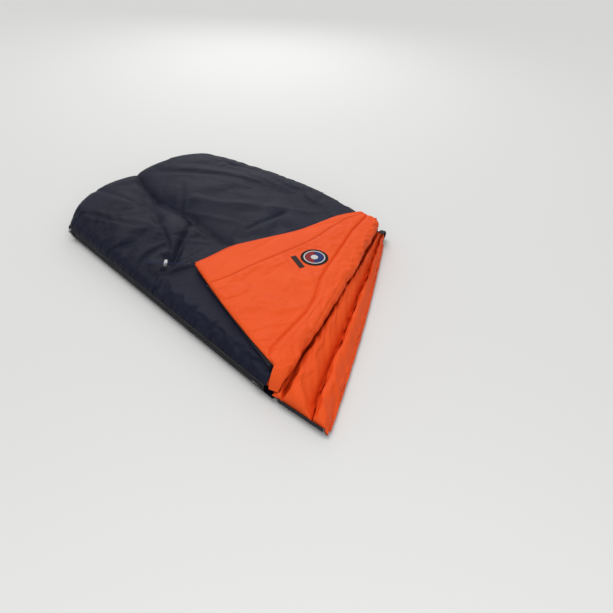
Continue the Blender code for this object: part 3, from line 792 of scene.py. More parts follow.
def panel_grid(start, end, rows, columns, top, seam_ends=(False, True)):
    """Points of the panel's upper or lower skin between two shares of the way to the hem."""
    u, v = unit_grid(rows, columns)
    across = crowd(v)
    low_u = start(across) if callable(start) else start
    high_u = end(across) if callable(end) else end
    share = mix(low_u, high_u, u)
    point = flap_plan(share, across, 0.010)
    x, y = point[..., 0], point[..., 1]
    length = np.hypot(*(flap_plan(np.ones_like(share), across) -
                        flap_plan(np.zeros_like(share), across)).transpose(2, 0, 1))
    width = mix(0.97, 0.83, share)
    rise = 1.0
    round_off = mix(0.007, 0.026, smooth(share / 0.12))
    for distance in (across * width, (1 - across) * width):
        rise = rise * round_over(distance, round_off)
    flat = rise
    for closed, gap in zip(seam_ends, ((share - low_u) * length, (high_u - share) * length)):
        if closed:
            flat = flat * (1 - 0.26 * np.exp(-np.clip(gap, 0, None) / 0.0045))
    full = panel_top(x, y) if top else FLAP_LOW + 0.0002 * np.ones_like(x)
    return np.stack([x, y, mix(FLAP_MIDDLE, full, flat)], axis=-1)


panel_points = panel_grid(ROLL_OVERLAP, seam_share, 120, 170, True)
panel_lining = grid_piece("panel_lining_cloth", panel_points, lining_cloth, flip=True)
panel_u, panel_v = unit_grid(120, 170)
to_edge = np.minimum(np.minimum(panel_v, 1 - panel_v) * 0.9,
                     np.minimum(panel_u, 1 - panel_u) * 0.4)
panel_x, panel_y = panel_points[..., 0], panel_points[..., 1]
held = np.exp(-to_edge / 0.010)
held = np.maximum(held, smooth((0.078 - patch_distance(panel_x, panel_y)) / 0.02))
held = np.maximum(held, np.exp(-np.abs(line_distance(panel_x, panel_y, ARC)) / 0.012))
settle(panel_lining, held, 0.022, 0.0050, frames=16)
skin_finish(panel_lining)
sew(panel_lining, "flap", "flap_lining")

under_points = panel_grid(0.0, seam_share, 70, 90, False)
panel_shell = grid_piece("panel_shell_cloth", under_points, shell_cloth)
skin_finish(panel_shell)
sew(panel_shell, "flap", "flap_shell")


def panel_fill_grid(height):
    """One flat face of the fill inside the panel."""
    u, v = unit_grid(40, 40)
    point = flap_plan(mix(0.02, 0.66, u), mix(0.03, 0.97, v))
    return np.concatenate([point, np.full(point.shape[:2] + (1,), height)], axis=-1)


panel_fill = grid_piece("panel_fill", panel_fill_grid(FLAP_HIGH - 0.0185), fill_cloth,
                        under=panel_fill_grid(FLAP_LOW + 0.004))
sew(panel_fill, "flap", "flap_insulation")

# ---- Draft collar -------------------------------------------------------------------------
# A padded orange tube across the mouth of the bag, sewn to the panel along a double-stitched
# seam.  The drawcord runs through a narrow sleeve along its free edge and gathers it.
COLLAR_W = 0.13
SLEEVE_SEAM = 0.0125
GATHERS = (0.029, 0.0173, 0.047)               # lengths of the waves that the drawcord gathers
collar_top = panel_grid(seam_share, 1.0, 60, 190, True, (True, False))
collar_low = panel_grid(seam_share, 1.0, 60, 190, False, (True, False))
hem_u, hem_v = unit_grid(60, 190)
to_hem = (1 - hem_u) * COLLAR_W
hem_drop = round_over(to_hem, 0.020)
gather = ripple(hem_v, list(zip(GATHERS, (1.0, 0.7, 0.9), (0.2, 1.3, 2.0))))
pucker = 0.0011 * gather * np.exp(-to_hem / 0.016)
sleeve_tuck = 0.0024 * np.exp(-((to_hem - SLEEVE_SEAM) / 0.0016) ** 2)
edge_in = fold_across * (-0.0012 * gather * np.exp(-to_hem / 0.012))[..., None]
for skin, lift, tuck in ((collar_top, 1.0, sleeve_tuck), (collar_low, 0.4, 0.0)):
    skin[..., 2] = mix(FLAP_MIDDLE, skin[..., 2], hem_drop) + pucker * lift * hem_drop
    skin[..., 2] -= tuck
    skin[..., :2] += edge_in
collar_shell = grid_piece("collar_shell_cloth", collar_low, shell_cloth)
skin_finish(collar_shell)
sew(collar_shell, "flap")
draft_collar = grid_piece("draft_collar_cloth", collar_top, lining_cloth, flip=True)
skin_finish(draft_collar)
sew(draft_collar, "flap", "draft_collar")


sleeve_v = np.linspace(0.012, 0.985, 420)
sleeve_wave = ripple(sleeve_v, list(zip(GATHERS, (0.0005, 0.0004, 0.0005), (0.2, 1.3, 2.0))))
sleeve_xy = (flap_plan(np.ones_like(sleeve_v), sleeve_v) + fold_across * 0.0040 -
             fold_across * sleeve_wave[:, None])
sleeve_line = np.column_stack([sleeve_xy, np.full_like(sleeve_v, FLAP_MIDDLE)])
cord_sleeve = tube_piece("cord_sleeve", sleeve_line, 0.0043 + 0.5 * sleeve_wave, 14)
cord_sleeve.data.materials.append(lining_cloth)
sew(cord_sleeve, "flap", "collar_cord_channel")

# ---- Rolled fold --------------------------------------------------------------------------
# Where the top half turns over, its lining and fill make a thick soft roll.  It joins the
# panel's lining above to the lining of the body below.
ROLL_LOW = ROOF_Z + 0.0005
ROLL_HALF = 0.5 * (FLAP_HIGH - 0.0010 - ROLL_LOW)
ROLL_Z = ROLL_LOW + ROLL_HALF
ROLL_ROWS = 44
ROLL_COLUMNS = 170
ROLL_NEAR = -0.040                             # it starts this share outside the panel's edge
MEAN_WIDTH = 0.97
NEAR_TIP_Z = 0.040


def roll_reach(v):
    """How far the roll bulges past the fold line, from the zip side to the gathered corner."""
    return np.interp(v, [-0.04, 0.05, 0.15, 0.35, 0.6, 0.85, 1.0],
                     [0.046, 0.048, 0.051, 0.052, 0.044, 0.028, 0.018])


turn, v = np.meshgrid(np.linspace(-0.5 * math.pi, 0.5 * math.pi, ROLL_ROWS),
                      np.linspace(0, 1, ROLL_COLUMNS), indexing="ij")
across = mix(ROLL_NEAR, 1.0, crowd(v))
base = flap_plan(np.zeros_like(across), across)
near_end = round_over((across - ROLL_NEAR) * MEAN_WIDTH, 0.052)
far_end = round_over((1 - across) * MEAN_WIDTH, 0.020)
ends = near_end * far_end
dent = 0.0060 * np.exp(-((turn - 0.35 - 0.9 * across) / 0.14) ** 2)
dent = dent * smooth((across - 0.16) / 0.12) * smooth((0.62 - across) / 0.15)
fluted = ripple(across + 0.02 * turn, [(0.21, 0.0016, 0.5), (0.083, 0.0008, 1.0),
                                       (0.047, 0.0005, 2.1)])
reach = (roll_reach(across) * mix(0.72 * smooth((1 - across) / 0.05), 1.0, ends) - dent +
         fluted * ends) * np.cos(turn)
roll_xy = base - fold_across * reach[..., None]
top_z = panel_top(base[..., 0], base[..., 1])
seat_z = np.where(turn > 0, mix(NEAR_TIP_Z + 0.001, top_z, ends),
                  mix(NEAR_TIP_Z - 0.001, ROLL_LOW, ends))
centre_z = mix(NEAR_TIP_Z, ROLL_Z, ends)
roll_z = centre_z + (seat_z - centre_z) * np.abs(np.sin(turn)) ** 0.9
skin = np.concatenate([roll_xy, roll_z[..., None]], axis=-1)
inner = [skin[-1] + (skin[0] - skin[-1]) * step / 6 for step in range(1, 7)]
roll_points = np.concatenate([skin, np.array(inner)])
fold_roll = grid_piece("rolled_fold_cloth", roll_points, lining_cloth, flip=True)
held = np.zeros(roll_points.shape[:2])
held[:3] = held[ROLL_ROWS - 3:] = 1.0
held[:, :6] = held[:, -6:] = 1.0
settle(fold_roll, held, 0.030, 0.0045, frames=16)


def close_seams(obj):
    """Join the edges that lie on each other, and turn every face outwards."""
    bm = bmesh.new()
    bm.from_mesh(obj.data)
    bmesh.ops.remove_doubles(bm, verts=bm.verts, dist=0.00008)
    bmesh.ops.recalc_face_normals(bm, faces=bm.faces)
    bm.to_mesh(obj.data)
    bm.free()
    obj.data.shade_smooth()


close_seams(fold_roll)
soft = fold_roll.modifiers.new("smooth", "SUBSURF")
soft.levels = soft.render_levels = 1
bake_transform(fold_roll)

# ---- Hood ---------------------------------------------------------------------------------
# The lower half of the head end: a navy shell that lies on the floor and an orange lining that
# stands up in two deep pleats, drawn together under a webbing tab at the far corner.
HEAD_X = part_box("hood_shell")[1].x
HOOD_NEAR_Y = -0.531
APEX = np.array((0.312, 0.488))
HOOD_PROFILE = np.array([                      # share across, height, lean of the lining
    (0.000, 0.022), (0.040, 0.030), (0.075, 0.047), (0.110, 0.050), (0.140, 0.040),
    (0.150, 0.027), (0.165, 0.024), (0.175, 0.040), (0.205, 0.060), (0.265, 0.073),
    (0.360, 0.077), (0.470, 0.070), (0.570, 0.056), (0.640, 0.038), (0.668, 0.018),
    (0.676, 0.008), (0.690, 0.007), (0.690, 0.024), (0.705, 0.046), (0.750, 0.060),
    (0.820, 0.060), (0.900, 0.048), (0.965, 0.030), (1.000, 0.014)])


def hood_plan(u, v):
    """Plan position: u runs from the mouth to the head edge, v from the zip to the corner."""
    near_x = mix(FOLD_NEAR[0] + 0.024, HEAD_X - 0.002, u)
    far_x = APEX[0] + mix(-0.020, 0.018, u)
    far_y = APEX[1] + mix(-0.004, -0.020, u)
    bend = 0.020 * np.sin(math.pi * v) * (0.3 - u)
    return mix(near_x, far_x, v) - bend, mix(HOOD_NEAR_Y, far_y, v)


def spline_through(points, count):
    """Evenly spread points on a smooth curve through the given ones."""
    points = np.asarray(points, float)
    padded = np.concatenate([[2 * points[0] - points[1]], points, [2 * points[-1] - points[-2]]])
    made = []
    for a, b, c, d in zip(padded, padded[1:], padded[2:], padded[3:]):
        for t in np.linspace(0, 1, 24, endpoint=False):
            made.append(0.5 * (2 * b + (c - a) * t + (2 * a - 5 * b + 4 * c - d) * t * t +
                               (3 * b - a - 3 * c + d) * t ** 3))
    made = np.array(made + [points[-1]])
    run = np.concatenate([[0], np.cumsum(np.hypot(np.diff(made[:, 0]) * 0.2,
                                                  np.diff(made[:, 1])))])
    even = np.linspace(0, run[-1], count)
    return np.stack([np.interp(even, run, made[:, axis]) for axis in (0, 1)], axis=-1)


HOOD_ROWS, HOOD_COLUMNS = 210, 120
profile = spline_through(HOOD_PROFILE, HOOD_ROWS)
v = np.linspace(0, 1, HOOD_COLUMNS)[None, :] * np.ones((HOOD_ROWS, 1))
share = profile[:, 0][:, None] * np.ones((1, HOOD_COLUMNS))
height = profile[:, 1][:, None] * np.ones((1, HOOD_COLUMNS))
slide = 0.030 * smooth((0.12 - v) / 0.12) - 0.018 * np.sin(math.pi * np.clip(v / 0.8, 0, 1))
share = share + slide * smooth(share / 0.3) * smooth((1 - share) / 0.12)
pleat_wander = 0.006 * ripple(v, [(0.33, 1.0, 0.4), (0.17, 0.5, 2.0)])
share = share + pleat_wander * smooth((1 - share) / 0.1)
x, y = hood_plan(share, v)
fade = 1 - 0.22 * smooth((v - 0.5) / 0.5)
near_close = round_over(y - HOOD_NEAR_Y, 0.045)
far_close = round_over(1 - v, 0.06)
wave = ripple(v + 0.3 * share, [(0.14, 0.0018, 0.2), (0.061, 0.0009, 1.4)])
z = mix(mix(0.0275, 0.014, smooth((share - 0.9) / 0.1)), height * fade +
        wave * smooth(height / 0.04), near_close)
z = mix(0.036, z, far_close)
z = np.maximum(z, 0.0052)
hood_points = np.stack([x, y, z], axis=-1)
hood_lining = grid_piece("hood_lining_cloth", hood_points, lining_cloth)
held = np.exp(-np.minimum(v, 1 - v) * MEAN_WIDTH / 0.008)
held = np.maximum(held, smooth((0.022 - hood_points[..., 2]) / 0.010))
held[:4] = held[-4:] = 1.0
settle(hood_lining, held, 0.022, 0.0050, frames=16)
skin_finish(hood_lining)
sew(hood_lining, "bag", "hood_lining")

u, v = unit_grid(50, 90)
x, y = hood_plan(0.998 * u, v)
head = np.clip((1 - u) * 0.2 / 0.020, 0, 1)
low = 0.0012 + 0.0250 * (1 - round_over(y - HOOD_NEAR_Y, 0.030)) * smooth((1 - u) / 0.1)
low = low + 0.009 * (1 - head) ** 2
hood_shell = grid_piece("hood_shell_cloth", np.stack([x, y, low], axis=-1), shell_cloth,
                        flip=True)
skin_finish(hood_shell)
sew(hood_shell, "bag", "hood_shell")

u, v = unit_grid(40, 30)
x, y = hood_plan(mix(0.06, 0.94, u), mix(0.06, 0.93, v))
low = np.stack([x, y, np.full_like(x, 0.003)], axis=-1)
high = np.stack([x, y, np.full_like(x, 0.0048)], axis=-1)
hood_fill = grid_piece("hood_fill", high, fill_cloth, under=low)
sew(hood_fill, "bag", "hood_insulation")

edge_v = np.linspace(0.02, 0.965, 260)
edge_x, edge_y = hood_plan(np.ones_like(edge_v), edge_v)
edge_wave = ripple(edge_v, [(0.033, 0.0002, 0.2), (0.0197, 0.00015, 1.1),
                            (0.083, 0.0005, 2.0)])
edge_line = np.stack([edge_x + 0.0012, edge_y, np.full_like(edge_x, 0.0110)], axis=-1)
hood_edge = tube_piece("hood_edge_cloth", edge_line, 0.0042 + edge_wave, 12)
hood_edge.data.materials.append(lining_cloth)
sew(hood_edge, "bag", "hood_edge_binding")

# ---- Side and foot seam -------------------------------------------------------------------
# The seam of the closed side and the foot is bound with folded navy tape, drawn in a little by
# its stitches.
seam_v = np.linspace(0, 1, 900)
SEAM_TURNS = (0.0, 0.61, 0.975, 1.0)           # head end, far corner, near corner, foot stop
seam_u = np.interp(seam_v, SEAM_TURNS, (0.995, 0.0, 0.0, 0.024))
seam_across = np.interp(seam_v, SEAM_TURNS, (1.0, 1.0, 0.0, 0.0))
seam_height = np.interp(seam_v, SEAM_TURNS, (SEAM_Z, SEAM_Z, SEAM_Z, SEAM_Z - 0.012))
seam_x, seam_y = body_plan(seam_u, seam_across, -0.001)
ahead = np.stack([np.gradient(seam_x), np.gradient(seam_y)], axis=-1)
ahead /= np.maximum(np.linalg.norm(ahead, axis=1)[:, None], 1e-9)
SEAM_OUT = 0.0010
seam_line = np.stack([seam_x + ahead[:, 1] * SEAM_OUT, seam_y - ahead[:, 0] * SEAM_OUT,
                      seam_height], axis=-1)
seam_steps = np.diff(seam_line, axis=0, prepend=seam_line[:1])
seam_run = np.cumsum(np.linalg.norm(seam_steps, axis=1))
seam_wave = ripple(seam_run, [(0.0131, 0.00022, 0.3), (0.037, 0.0002, 1.3)])


def webbing(name, color, lit, rib=0.0016, roughness=0.78):
    """Narrow woven tape with ribs across it, each rib painted lighter as a highlight."""
    return fabric(name, color, lit, roughness, 0.10, grid_strength=0.9, thread=0.0006,
                  grid=rib, crumple_size=0.03, crumple_depth=0.0010, weave_depth=0.0004)


navy_tape = webbing("navy_grosgrain", NAVY, NAVY_LIT)
side_binding = tube_piece("side_seam_tape", seam_line, 0.0026 + seam_wave, 10)
side_binding.data.materials.append(navy_tape)
sew(side_binding, "bag", "side_seam_binding")

# ---- Stitching ----------------------------------------------------------------------------
# Lock stitches of twisted thread beside every seam, in the colour of the cloth they hold.
# Each is a short bead that dips into the cloth at its ends, repeated along the row.
THREAD_R = 0.00042
STITCH_LENGTH = 0.0030
STITCH_PITCH = 0.0042


def thread_material(name, color):
    """Twisted polyester thread with painted shade: darker in its hollows."""
    mat, tree, shader = new_material(name)
    shader.inputs["Roughness"].default_value = 0.6
    height, _ = creases(tree, 0.002)
    # painted shade: 0.7 of the colour where the crease height is low
    two_tone(tree, height, [0.7 * part for part in color], color)
    relief(tree, height, 0.0002, 0.6)
    return mat


def bead_mesh(name, length, radius, sides=6):
    """A closed spindle along +X, thickest in the middle."""
    bm = bmesh.new()
    rings = []
    for at, share in ((-0.42, 0.55), (-0.2, 0.95), (0.2, 0.95), (0.42, 0.55)):
        ring = [bm.verts.new((at * length, share * radius * math.cos(2 * math.pi * k / sides),
                              share * radius * math.sin(2 * math.pi * k / sides)))
                for k in range(sides)]
        rings.append(ring)
    ends = [bm.verts.new((-0.5 * length, 0, -0.4 * radius)),
            bm.verts.new((0.5 * length, 0, -0.4 * radius))]
    for a, b in zip(rings, rings[1:]):
        for k in range(sides):
            m = (k + 1) % sides
            bm.faces.new((a[k], b[k], b[m], a[m]))
    for k in range(sides):
        m = (k + 1) % sides
        bm.faces.new((ends[0], rings[0][k], rings[0][m]))
        bm.faces.new((ends[1], rings[-1][m], rings[-1][k]))
    bmesh.ops.recalc_face_normals(bm, faces=bm.faces)
    mesh = bpy.data.meshes.new(name)
    bm.to_mesh(mesh)
    bm.free()
    mesh.shade_smooth()
    return mesh


def row_tree():
    """Geometry Nodes: copies of a small shape at an even pitch along a line."""
    tree = bpy.data.node_groups.new("row_along_line", "GeometryNodeTree")
    tree.interface.new_socket("Line", in_out="INPUT", socket_type="NodeSocketGeometry")
    pitch = tree.interface.new_socket("Pitch", in_out="INPUT", socket_type="NodeSocketFloat")
    shape = tree.interface.new_socket("Shape", in_out="INPUT", socket_type="NodeSocketObject")
    finish = tree.interface.new_socket("Finish", in_out="INPUT",
                                       socket_type="NodeSocketMaterial")
    scatter = tree.interface.new_socket("Unevenness", in_out="INPUT",
                                        socket_type="NodeSocketFloat")
    tree.interface.new_socket("Geometry", in_out="OUTPUT", socket_type="NodeSocketGeometry")
    given = tree.nodes.new("NodeGroupInput")
    curve = node(tree, "GeometryNodeMeshToCurve", {"Mesh": given.outputs["Line"]})
    even = node(tree, "GeometryNodeResampleCurve", {"Curve": curve.outputs[0],
                                                    "Length": given.outputs["Pitch"]},
                mode="LENGTH")
    tangent = tree.nodes.new("GeometryNodeInputTangent")
    along = node(tree, "FunctionNodeAlignEulerToVector", {"Vector": tangent.outputs[0]},
                 axis="X", pivot_axis="AUTO")
    uneven = node(tree, "FunctionNodeRandomValue", {"Seed": 7}, data_type="FLOAT")
    low = math_node(tree, "SUBTRACT", 1.0, given.outputs["Unevenness"])
    tree.links.new(low, uneven.inputs[2])
    uneven.inputs[3].default_value = 1.0
    thing = node(tree, "GeometryNodeObjectInfo", {"Object": given.outputs["Shape"]})
    copies = node(tree, "GeometryNodeInstanceOnPoints",
                  {"Points": even.outputs[0], "Instance": thing.outputs["Geometry"],
                   "Rotation": along.outputs[0], "Scale": uneven.outputs[1]})
    real = node(tree, "GeometryNodeRealizeInstances", {"Geometry": copies.outputs[0]})
    done = node(tree, "GeometryNodeSetMaterial", {"Geometry": real.outputs[0],
                                                  "Material": given.outputs["Finish"]})
    out = tree.nodes.new("NodeGroupOutput")
    tree.links.new(done.outputs[0], out.inputs[0])
    return tree, (pitch.identifier, shape.identifier, finish.identifier, scatter.identifier)


ROW_TREE, ROW_SOCKETS = row_tree()


def row_piece(name, lines, shape_mesh, pitch, finish, uneven=0.12):
    """Bake copies of shape_mesh along each line into one plain mesh."""
    mesh = bpy.data.meshes.new(name)
    verts, edges = [], []
    for line in lines:
        first = len(verts)
        verts += [tuple(float(part) for part in point) for point in line]
        edges += [(first + k, first + k + 1) for k in range(len(line) - 1)]
    mesh.from_pydata(verts, edges, [])
    holder = bpy.data.objects.new(name, mesh)
    shape = bpy.data.objects.new(name + "_shape", shape_mesh)
    for made in (holder, shape):
        bpy.context.scene.collection.objects.link(made)
    nodes = holder.modifiers.new("rows", "NODES")
    nodes.node_group = ROW_TREE
    for identifier, value in zip(ROW_SOCKETS, (pitch, shape, finish, uneven)):
        nodes[identifier] = value
    holder.update_tag()
    graph = bpy.context.evaluated_depsgraph_get()
    baked = bpy.data.meshes.new_from_object(holder.evaluated_get(graph))
    holder.modifiers.remove(nodes)
    holder.data = baked
    bpy.data.objects.remove(shape)
    bpy.data.meshes.remove(mesh)
    baked.name = name
    return holder


orange_thread = thread_material("orange_thread", (0.62, 0.055, 0.008))
navy_thread = thread_material("navy_thread", (0.020, 0.024, 0.045))
grey_thread = thread_material("grey_thread", (0.10, 0.10, 0.11))
stitch_mesh = bead_mesh("stitch", STITCH_LENGTH, THREAD_R)


def panel_stitch_line(share_of, offset, lift):
    """A row on the panel's lining, beside the line that share_of gives."""
    v = np.linspace(0.02, 0.98, 200)
    point = flap_plan(share_of(v) + offset / PANEL_REACH, v, 0.010)
    height = panel_top(point[:, 0], point[:, 1])
    return np.concatenate([point, (height + lift)[:, None]], axis=-1)


collar_lines = [panel_stitch_line(seam_share, offset, -0.0016) for offset in (-0.0042, 0.0046)]
collar_stitches = row_piece("collar_seam_stitches", collar_lines, stitch_mesh, STITCH_PITCH,
                            orange_thread)
sew(collar_stitches, "flap")
hem_stitch_line = panel_stitch_line(np.ones_like, -SLEEVE_SEAM, -0.0030)
hem_stitches = row_piece("collar_sleeve_stitches", [hem_stitch_line], stitch_mesh, STITCH_PITCH,
                         orange_thread)
sew(hem_stitches, "flap")
seam_stitch_line = seam_line[::2] + np.array((0, 0, 0.0026))
side_stitches = row_piece("side_seam_stitches", [seam_stitch_line], stitch_mesh, STITCH_PITCH,
                          navy_thread)
sew(side_stitches, "bag")

# ---- Zips ---------------------------------------------------------------------------------
# Woven black tape sewn to each edge with a nylon coil on its outer margin.  One chain closes
# the body, and the single halves along the panel and the hood meet when the panel is turned up.
COIL_R = 0.0021
COIL_Z = 0.0028
COIL_WIRE = 0.00042
COIL_PITCH = 0.0021
TAPE_T = 0.0012
TAPE_W = 0.0130
black_tape = webbing("black_webbing", (0.009, 0.009, 0.011), (0.020, 0.020, 0.023))
coil_material, coil_tree, coil_shader = new_material("coil_nylon")
coil_height, coil_shade = creases(coil_tree, 0.004)
two_tone(coil_tree, coil_shade, (0.010, 0.010, 0.012), (0.035, 0.035, 0.040))
coil_tree.links.new(math_node(coil_tree, "MULTIPLY_ADD", coil_height, 0.2, 0.28),
                    coil_shader.inputs["Roughness"])


def tooth_mesh():
    """One turn of the coil: a flattened ring of moulded wire square to the chain."""
    bm = bmesh.new()
    sides, wire = 9, 4
    rings = []
    for k in range(sides):
        angle = 2 * math.pi * k / sides
        out = Vector((0, math.cos(angle), math.sin(angle)))
        lean = 0.35 * COIL_PITCH * math.sin(angle)
        ring = []
        for m in range(wire):
            twist = 2 * math.pi * (m + 0.5) / wire
            spot = out * (COIL_R - COIL_WIRE + COIL_WIRE * math.cos(twist))
            spot.x = lean + COIL_WIRE * 1.3 * math.sin(twist)
            ring.append(bm.verts.new(spot))
        rings.append(ring)
    for a, b in zip(rings, rings[1:] + rings[:1]):
        for m in range(wire):
            n = (m + 1) % wire
            bm.faces.new((a[m], b[m], b[n], a[n]))
    bmesh.ops.recalc_face_normals(bm, faces=bm.faces)
    mesh = bpy.data.meshes.new("coil_turn")
    bm.to_mesh(mesh)
    bm.free()
    mesh.shade_smooth()
    return mesh


coil_turn = tooth_mesh()


def tape_piece(name, start, end, side, body, node_name, count=160):
    """A straight length of zip tape standing square to the chain, with its two stitch rows."""
    start, end = np.array(start), np.array(end)
    along = end - start
    out = np.array((along[1], -along[0], 0.0)) / np.hypot(*along[:2])
    run = np.linspace(0, 1, count)[:, None]
    line = start + along * run
    sway = ripple(run[:, 0] * np.hypot(*along[:2]),
                  [(0.19, 0.0003, 0.2), (0.071, 0.0002, 1.0)])
    first = COIL_Z + COIL_R + 0.0001
    heights = first + TAPE_W * np.array([0, 0.02, 0.06, 0.25, 0.5, 0.75, 0.94, 0.98, 1.0])
    thick = 0.5 * TAPE_T * np.array([0.6, 1.5, 1.5, 0.9, 0.9, 0.9, 0.9, 0.9, 0.4])
    up = np.array((0.0, 0.0, side))
    middle = line[:, None, :] + up * heights[None, :, None] + out * sway[:, None, None]
    front = middle + out * thick[None, :, None]
    behind = middle - out * thick[None, :, None]
    tape = grid_piece(name, front, black_tape, under=behind)
    sew(tape, body, node_name)
    rows = [line + up * (first + TAPE_W * share) + out * (0.5 * TAPE_T + sway[:, None])
            for share in (0.42, 0.86)]
    sewn = row_piece(name + "_stitches", rows, stitch_mesh, STITCH_PITCH, grey_thread)
    sew(sewn, body)


def coil_piece(name, start, end, body, node_name):
    """A nylon coil on its cord, straight from start to end."""
    start, end = np.array(start), np.array(end)
    line = [start + (end - start) * step / 40 for step in range(41)]
    coil = row_piece(name, [line], coil_turn, COIL_PITCH, coil_material, uneven=0.0)
    sew(coil, body, node_name)
    core = tube_piece(name + "_core", line, COIL_R - 2.2 * COIL_WIRE, 8)
    core.data.materials.append(navy_tape)
    sew(core, body)


zip_slope = (near_edge(ZIP_HEAD_X) - near_edge(ZIP_FOOT_X)) / (ZIP_HEAD_X - ZIP_FOOT_X)
zip_out = np.array((zip_slope, -1.0)) / math.hypot(zip_slope, 1.0) * ZIP_OUT


def zip_point(x, lift=0.0):
    """A point of the body zip, just outside the near edge."""
    return (x + zip_out[0], near_edge(x) + zip_out[1], SEAM_Z + lift)


CHAIN_END_X = ZIP_HEAD_X - 0.010
HOOD_ZIP_Y = -0.5325
for half, side in (("upper", 1), ("lower", -1)):
    tape_piece(f"body_zip_tape_{half}", zip_point(ZIP_FOOT_X), zip_point(CHAIN_END_X), side,
               "bag", f"zip_tape_{half}")
    coil_piece(f"body_zip_coil_{half}", zip_point(ZIP_FOOT_X, side * COIL_Z),
               zip_point(CHAIN_END_X, side * COIL_Z), "bag", f"zip_coil_{half}")
hood_start = (FOLD_NEAR[0] + 0.050, HOOD_ZIP_Y, SEAM_Z)
hood_end = (HEAD_X - 0.020, HOOD_ZIP_Y, SEAM_Z)
tape_piece("hood_zip_half_tape", hood_start, hood_end, -1, "bag", "hood_zip_tape", 40)
coil_piece("hood_zip_half_coil", (*hood_start[:2], SEAM_Z - COIL_Z),
           (*hood_end[:2], SEAM_Z - COIL_Z), "bag", "hood_zip_coil")
panel_low, panel_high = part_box("flap_zip_coil")
panel_zip_start = np.array((panel_high.x - COIL_R, panel_low.y + COIL_R,
                            0.5 * (panel_low.z + panel_high.z)))
panel_zip_end = np.array((panel_low.x + COIL_R, panel_high.y - COIL_R, panel_zip_start[2]))
coil_piece("panel_zip_coil", panel_zip_start, panel_zip_end, "flap", "flap_zip_coil")
panel_zip_across = np.array((panel_zip_end - panel_zip_start)[:2])
panel_zip_across = np.array((-panel_zip_across[1], panel_zip_across[0]))
panel_zip_across /= np.hypot(*panel_zip_across)
run = np.linspace(0, 1, 160)[:, None]
panel_zip_line = panel_zip_start + (panel_zip_end - panel_zip_start) * run
if panel_zip_across[1] > 0:
    panel_zip_across = -panel_zip_across
tape_rows = np.array([0.0016, 0.0022, 0.0060, 0.0100, 0.0140])
middle = np.repeat(panel_zip_line[:, None, :], len(tape_rows), axis=1)
middle[..., :2] -= panel_zip_across * tape_rows[None, :, None]
middle[..., 2] += 0.0012 + 0.0018 * smooth(tape_rows / 0.010)
half_thick = np.array((0.0, 0.0, 0.5 * TAPE_T))
panel_tape = grid_piece("panel_zip_tape", middle + half_thick, black_tape,
                        under=middle - half_thick)
sew(panel_tape, "flap", "flap_zip_tape")

# ---- Draft tube ---------------------------------------------------------------------------
# A soft tube of orange lining round a little fill, sewn along the inside of the zip, where it
# keeps the draught from coming through the coils.
tube_x = np.linspace(-0.60, 0.50, 260)
tube_line = np.stack([tube_x, near_edge(tube_x) + 0.066, np.full_like(tube_x, 0.0445)], axis=-1)
tube_radius = 0.0108 + ripple(tube_x, [(0.083, 0.0006, 0.1), (0.031, 0.0004, 1.7)])
draft_tube = tube_piece("draft_tube_cloth", tube_line, tube_radius, 14)
draft_tube.data.materials.append(lining_cloth)
sew(draft_tube, "bag", "zip_draft_tube")

# ---- Webbing tabs -------------------------------------------------------------------------
# A black webbing loop gathers the hood's pleats at the far corner, and a short navy tab
# stiffens the collar's corner beside the cord's eyelet.
def strap_piece(name, line, width, thickness, finish, across=None):
    """A flat strap along a line, with rounded selvedges."""
    line = np.asarray(line, float)
    along = np.gradient(line, axis=0)
    along /= np.linalg.norm(along, axis=1)[:, None]
    side = np.cross(along, (0.0, 0.0, 1.0)) if across is None else np.broadcast_to(
        across, line.shape).copy()
    side = side / np.linalg.norm(side, axis=1)[:, None]
    face = np.cross(side, along)
    spread = np.array([-0.5, -0.485, -0.44, -0.2, 0.0, 0.2, 0.44, 0.485, 0.5])
    thick = 0.5 * thickness * np.array([0.2, 0.75, 1.1, 1.0, 1.0, 1.0, 1.1, 0.75, 0.2])
    middle = line[:, None, :] + side[:, None, :] * (spread * width)[None, :, None]
    lift = face[:, None, :] * thick[None, :, None]
    return grid_piece(name, middle + lift, finish, under=middle - lift)


tab_heading = np.array((APEX[0] - 0.345, APEX[1] - 0.395))
tab_heading /= np.hypot(*tab_heading)
tab_across = np.array((-tab_heading[1], tab_heading[0], 0.0))
TAB_W = 0.022
TAB_LENGTH = 0.050
TAB_ROWS = 20
hood_spots = vertex_spots(hood_lining)
tab_end = np.array((APEX[0] + 0.001, APEX[1] - 0.002))


def tab_height(spot):
    """The top of the gathered cloth under the strap."""
    close = np.hypot(*(hood_spots[:, :2] - spot).T) < 0.5 * TAB_W
    return float(hood_spots[close, 2].max()) if close.any() else 0.040


tab_plan = [tab_end - tab_heading * part for part in np.linspace(TAB_LENGTH, 0.0, TAB_ROWS)]
tab_z = np.convolve(np.pad([tab_height(spot) for spot in tab_plan], 2, "edge"),
                    np.ones(5) / 5, "valid") + 0.0018
tab_z[-1] = min(tab_z[-1], tab_z[-2])
tab_line = [np.array((*spot, z)) for spot, z in zip(tab_plan, tab_z)]
drop = 0.5 * (tab_line[-1][2] - 0.016)
turn_under = [tab_line[-1] + np.array((*(tab_heading * 0.007 * math.sin(angle)),
                                       -drop * (1 - math.cos(angle))))
              for angle in np.linspace(0.15, math.pi, 14)]
under_line = [turn_under[-1] - np.array((*(tab_heading * part), 0.0))
              for part in np.linspace(0.004, 0.024, 8)]
corner_tab = strap_piece("head_corner_loop", tab_line + turn_under + under_line, TAB_W, 0.0017,
                         black_tape, tab_across)
sew(corner_tab, "bag", "head_corner_tab")
corners = [(0.046, -0.008), (0.046, 0.008), (0.028, 0.008), (0.028, -0.008), (0.046, -0.008),
           (0.028, 0.008), (0.028, -0.008), (0.046, 0.008)]
tab_run = np.linspace(0, TAB_LENGTH, TAB_ROWS)
box_line = []
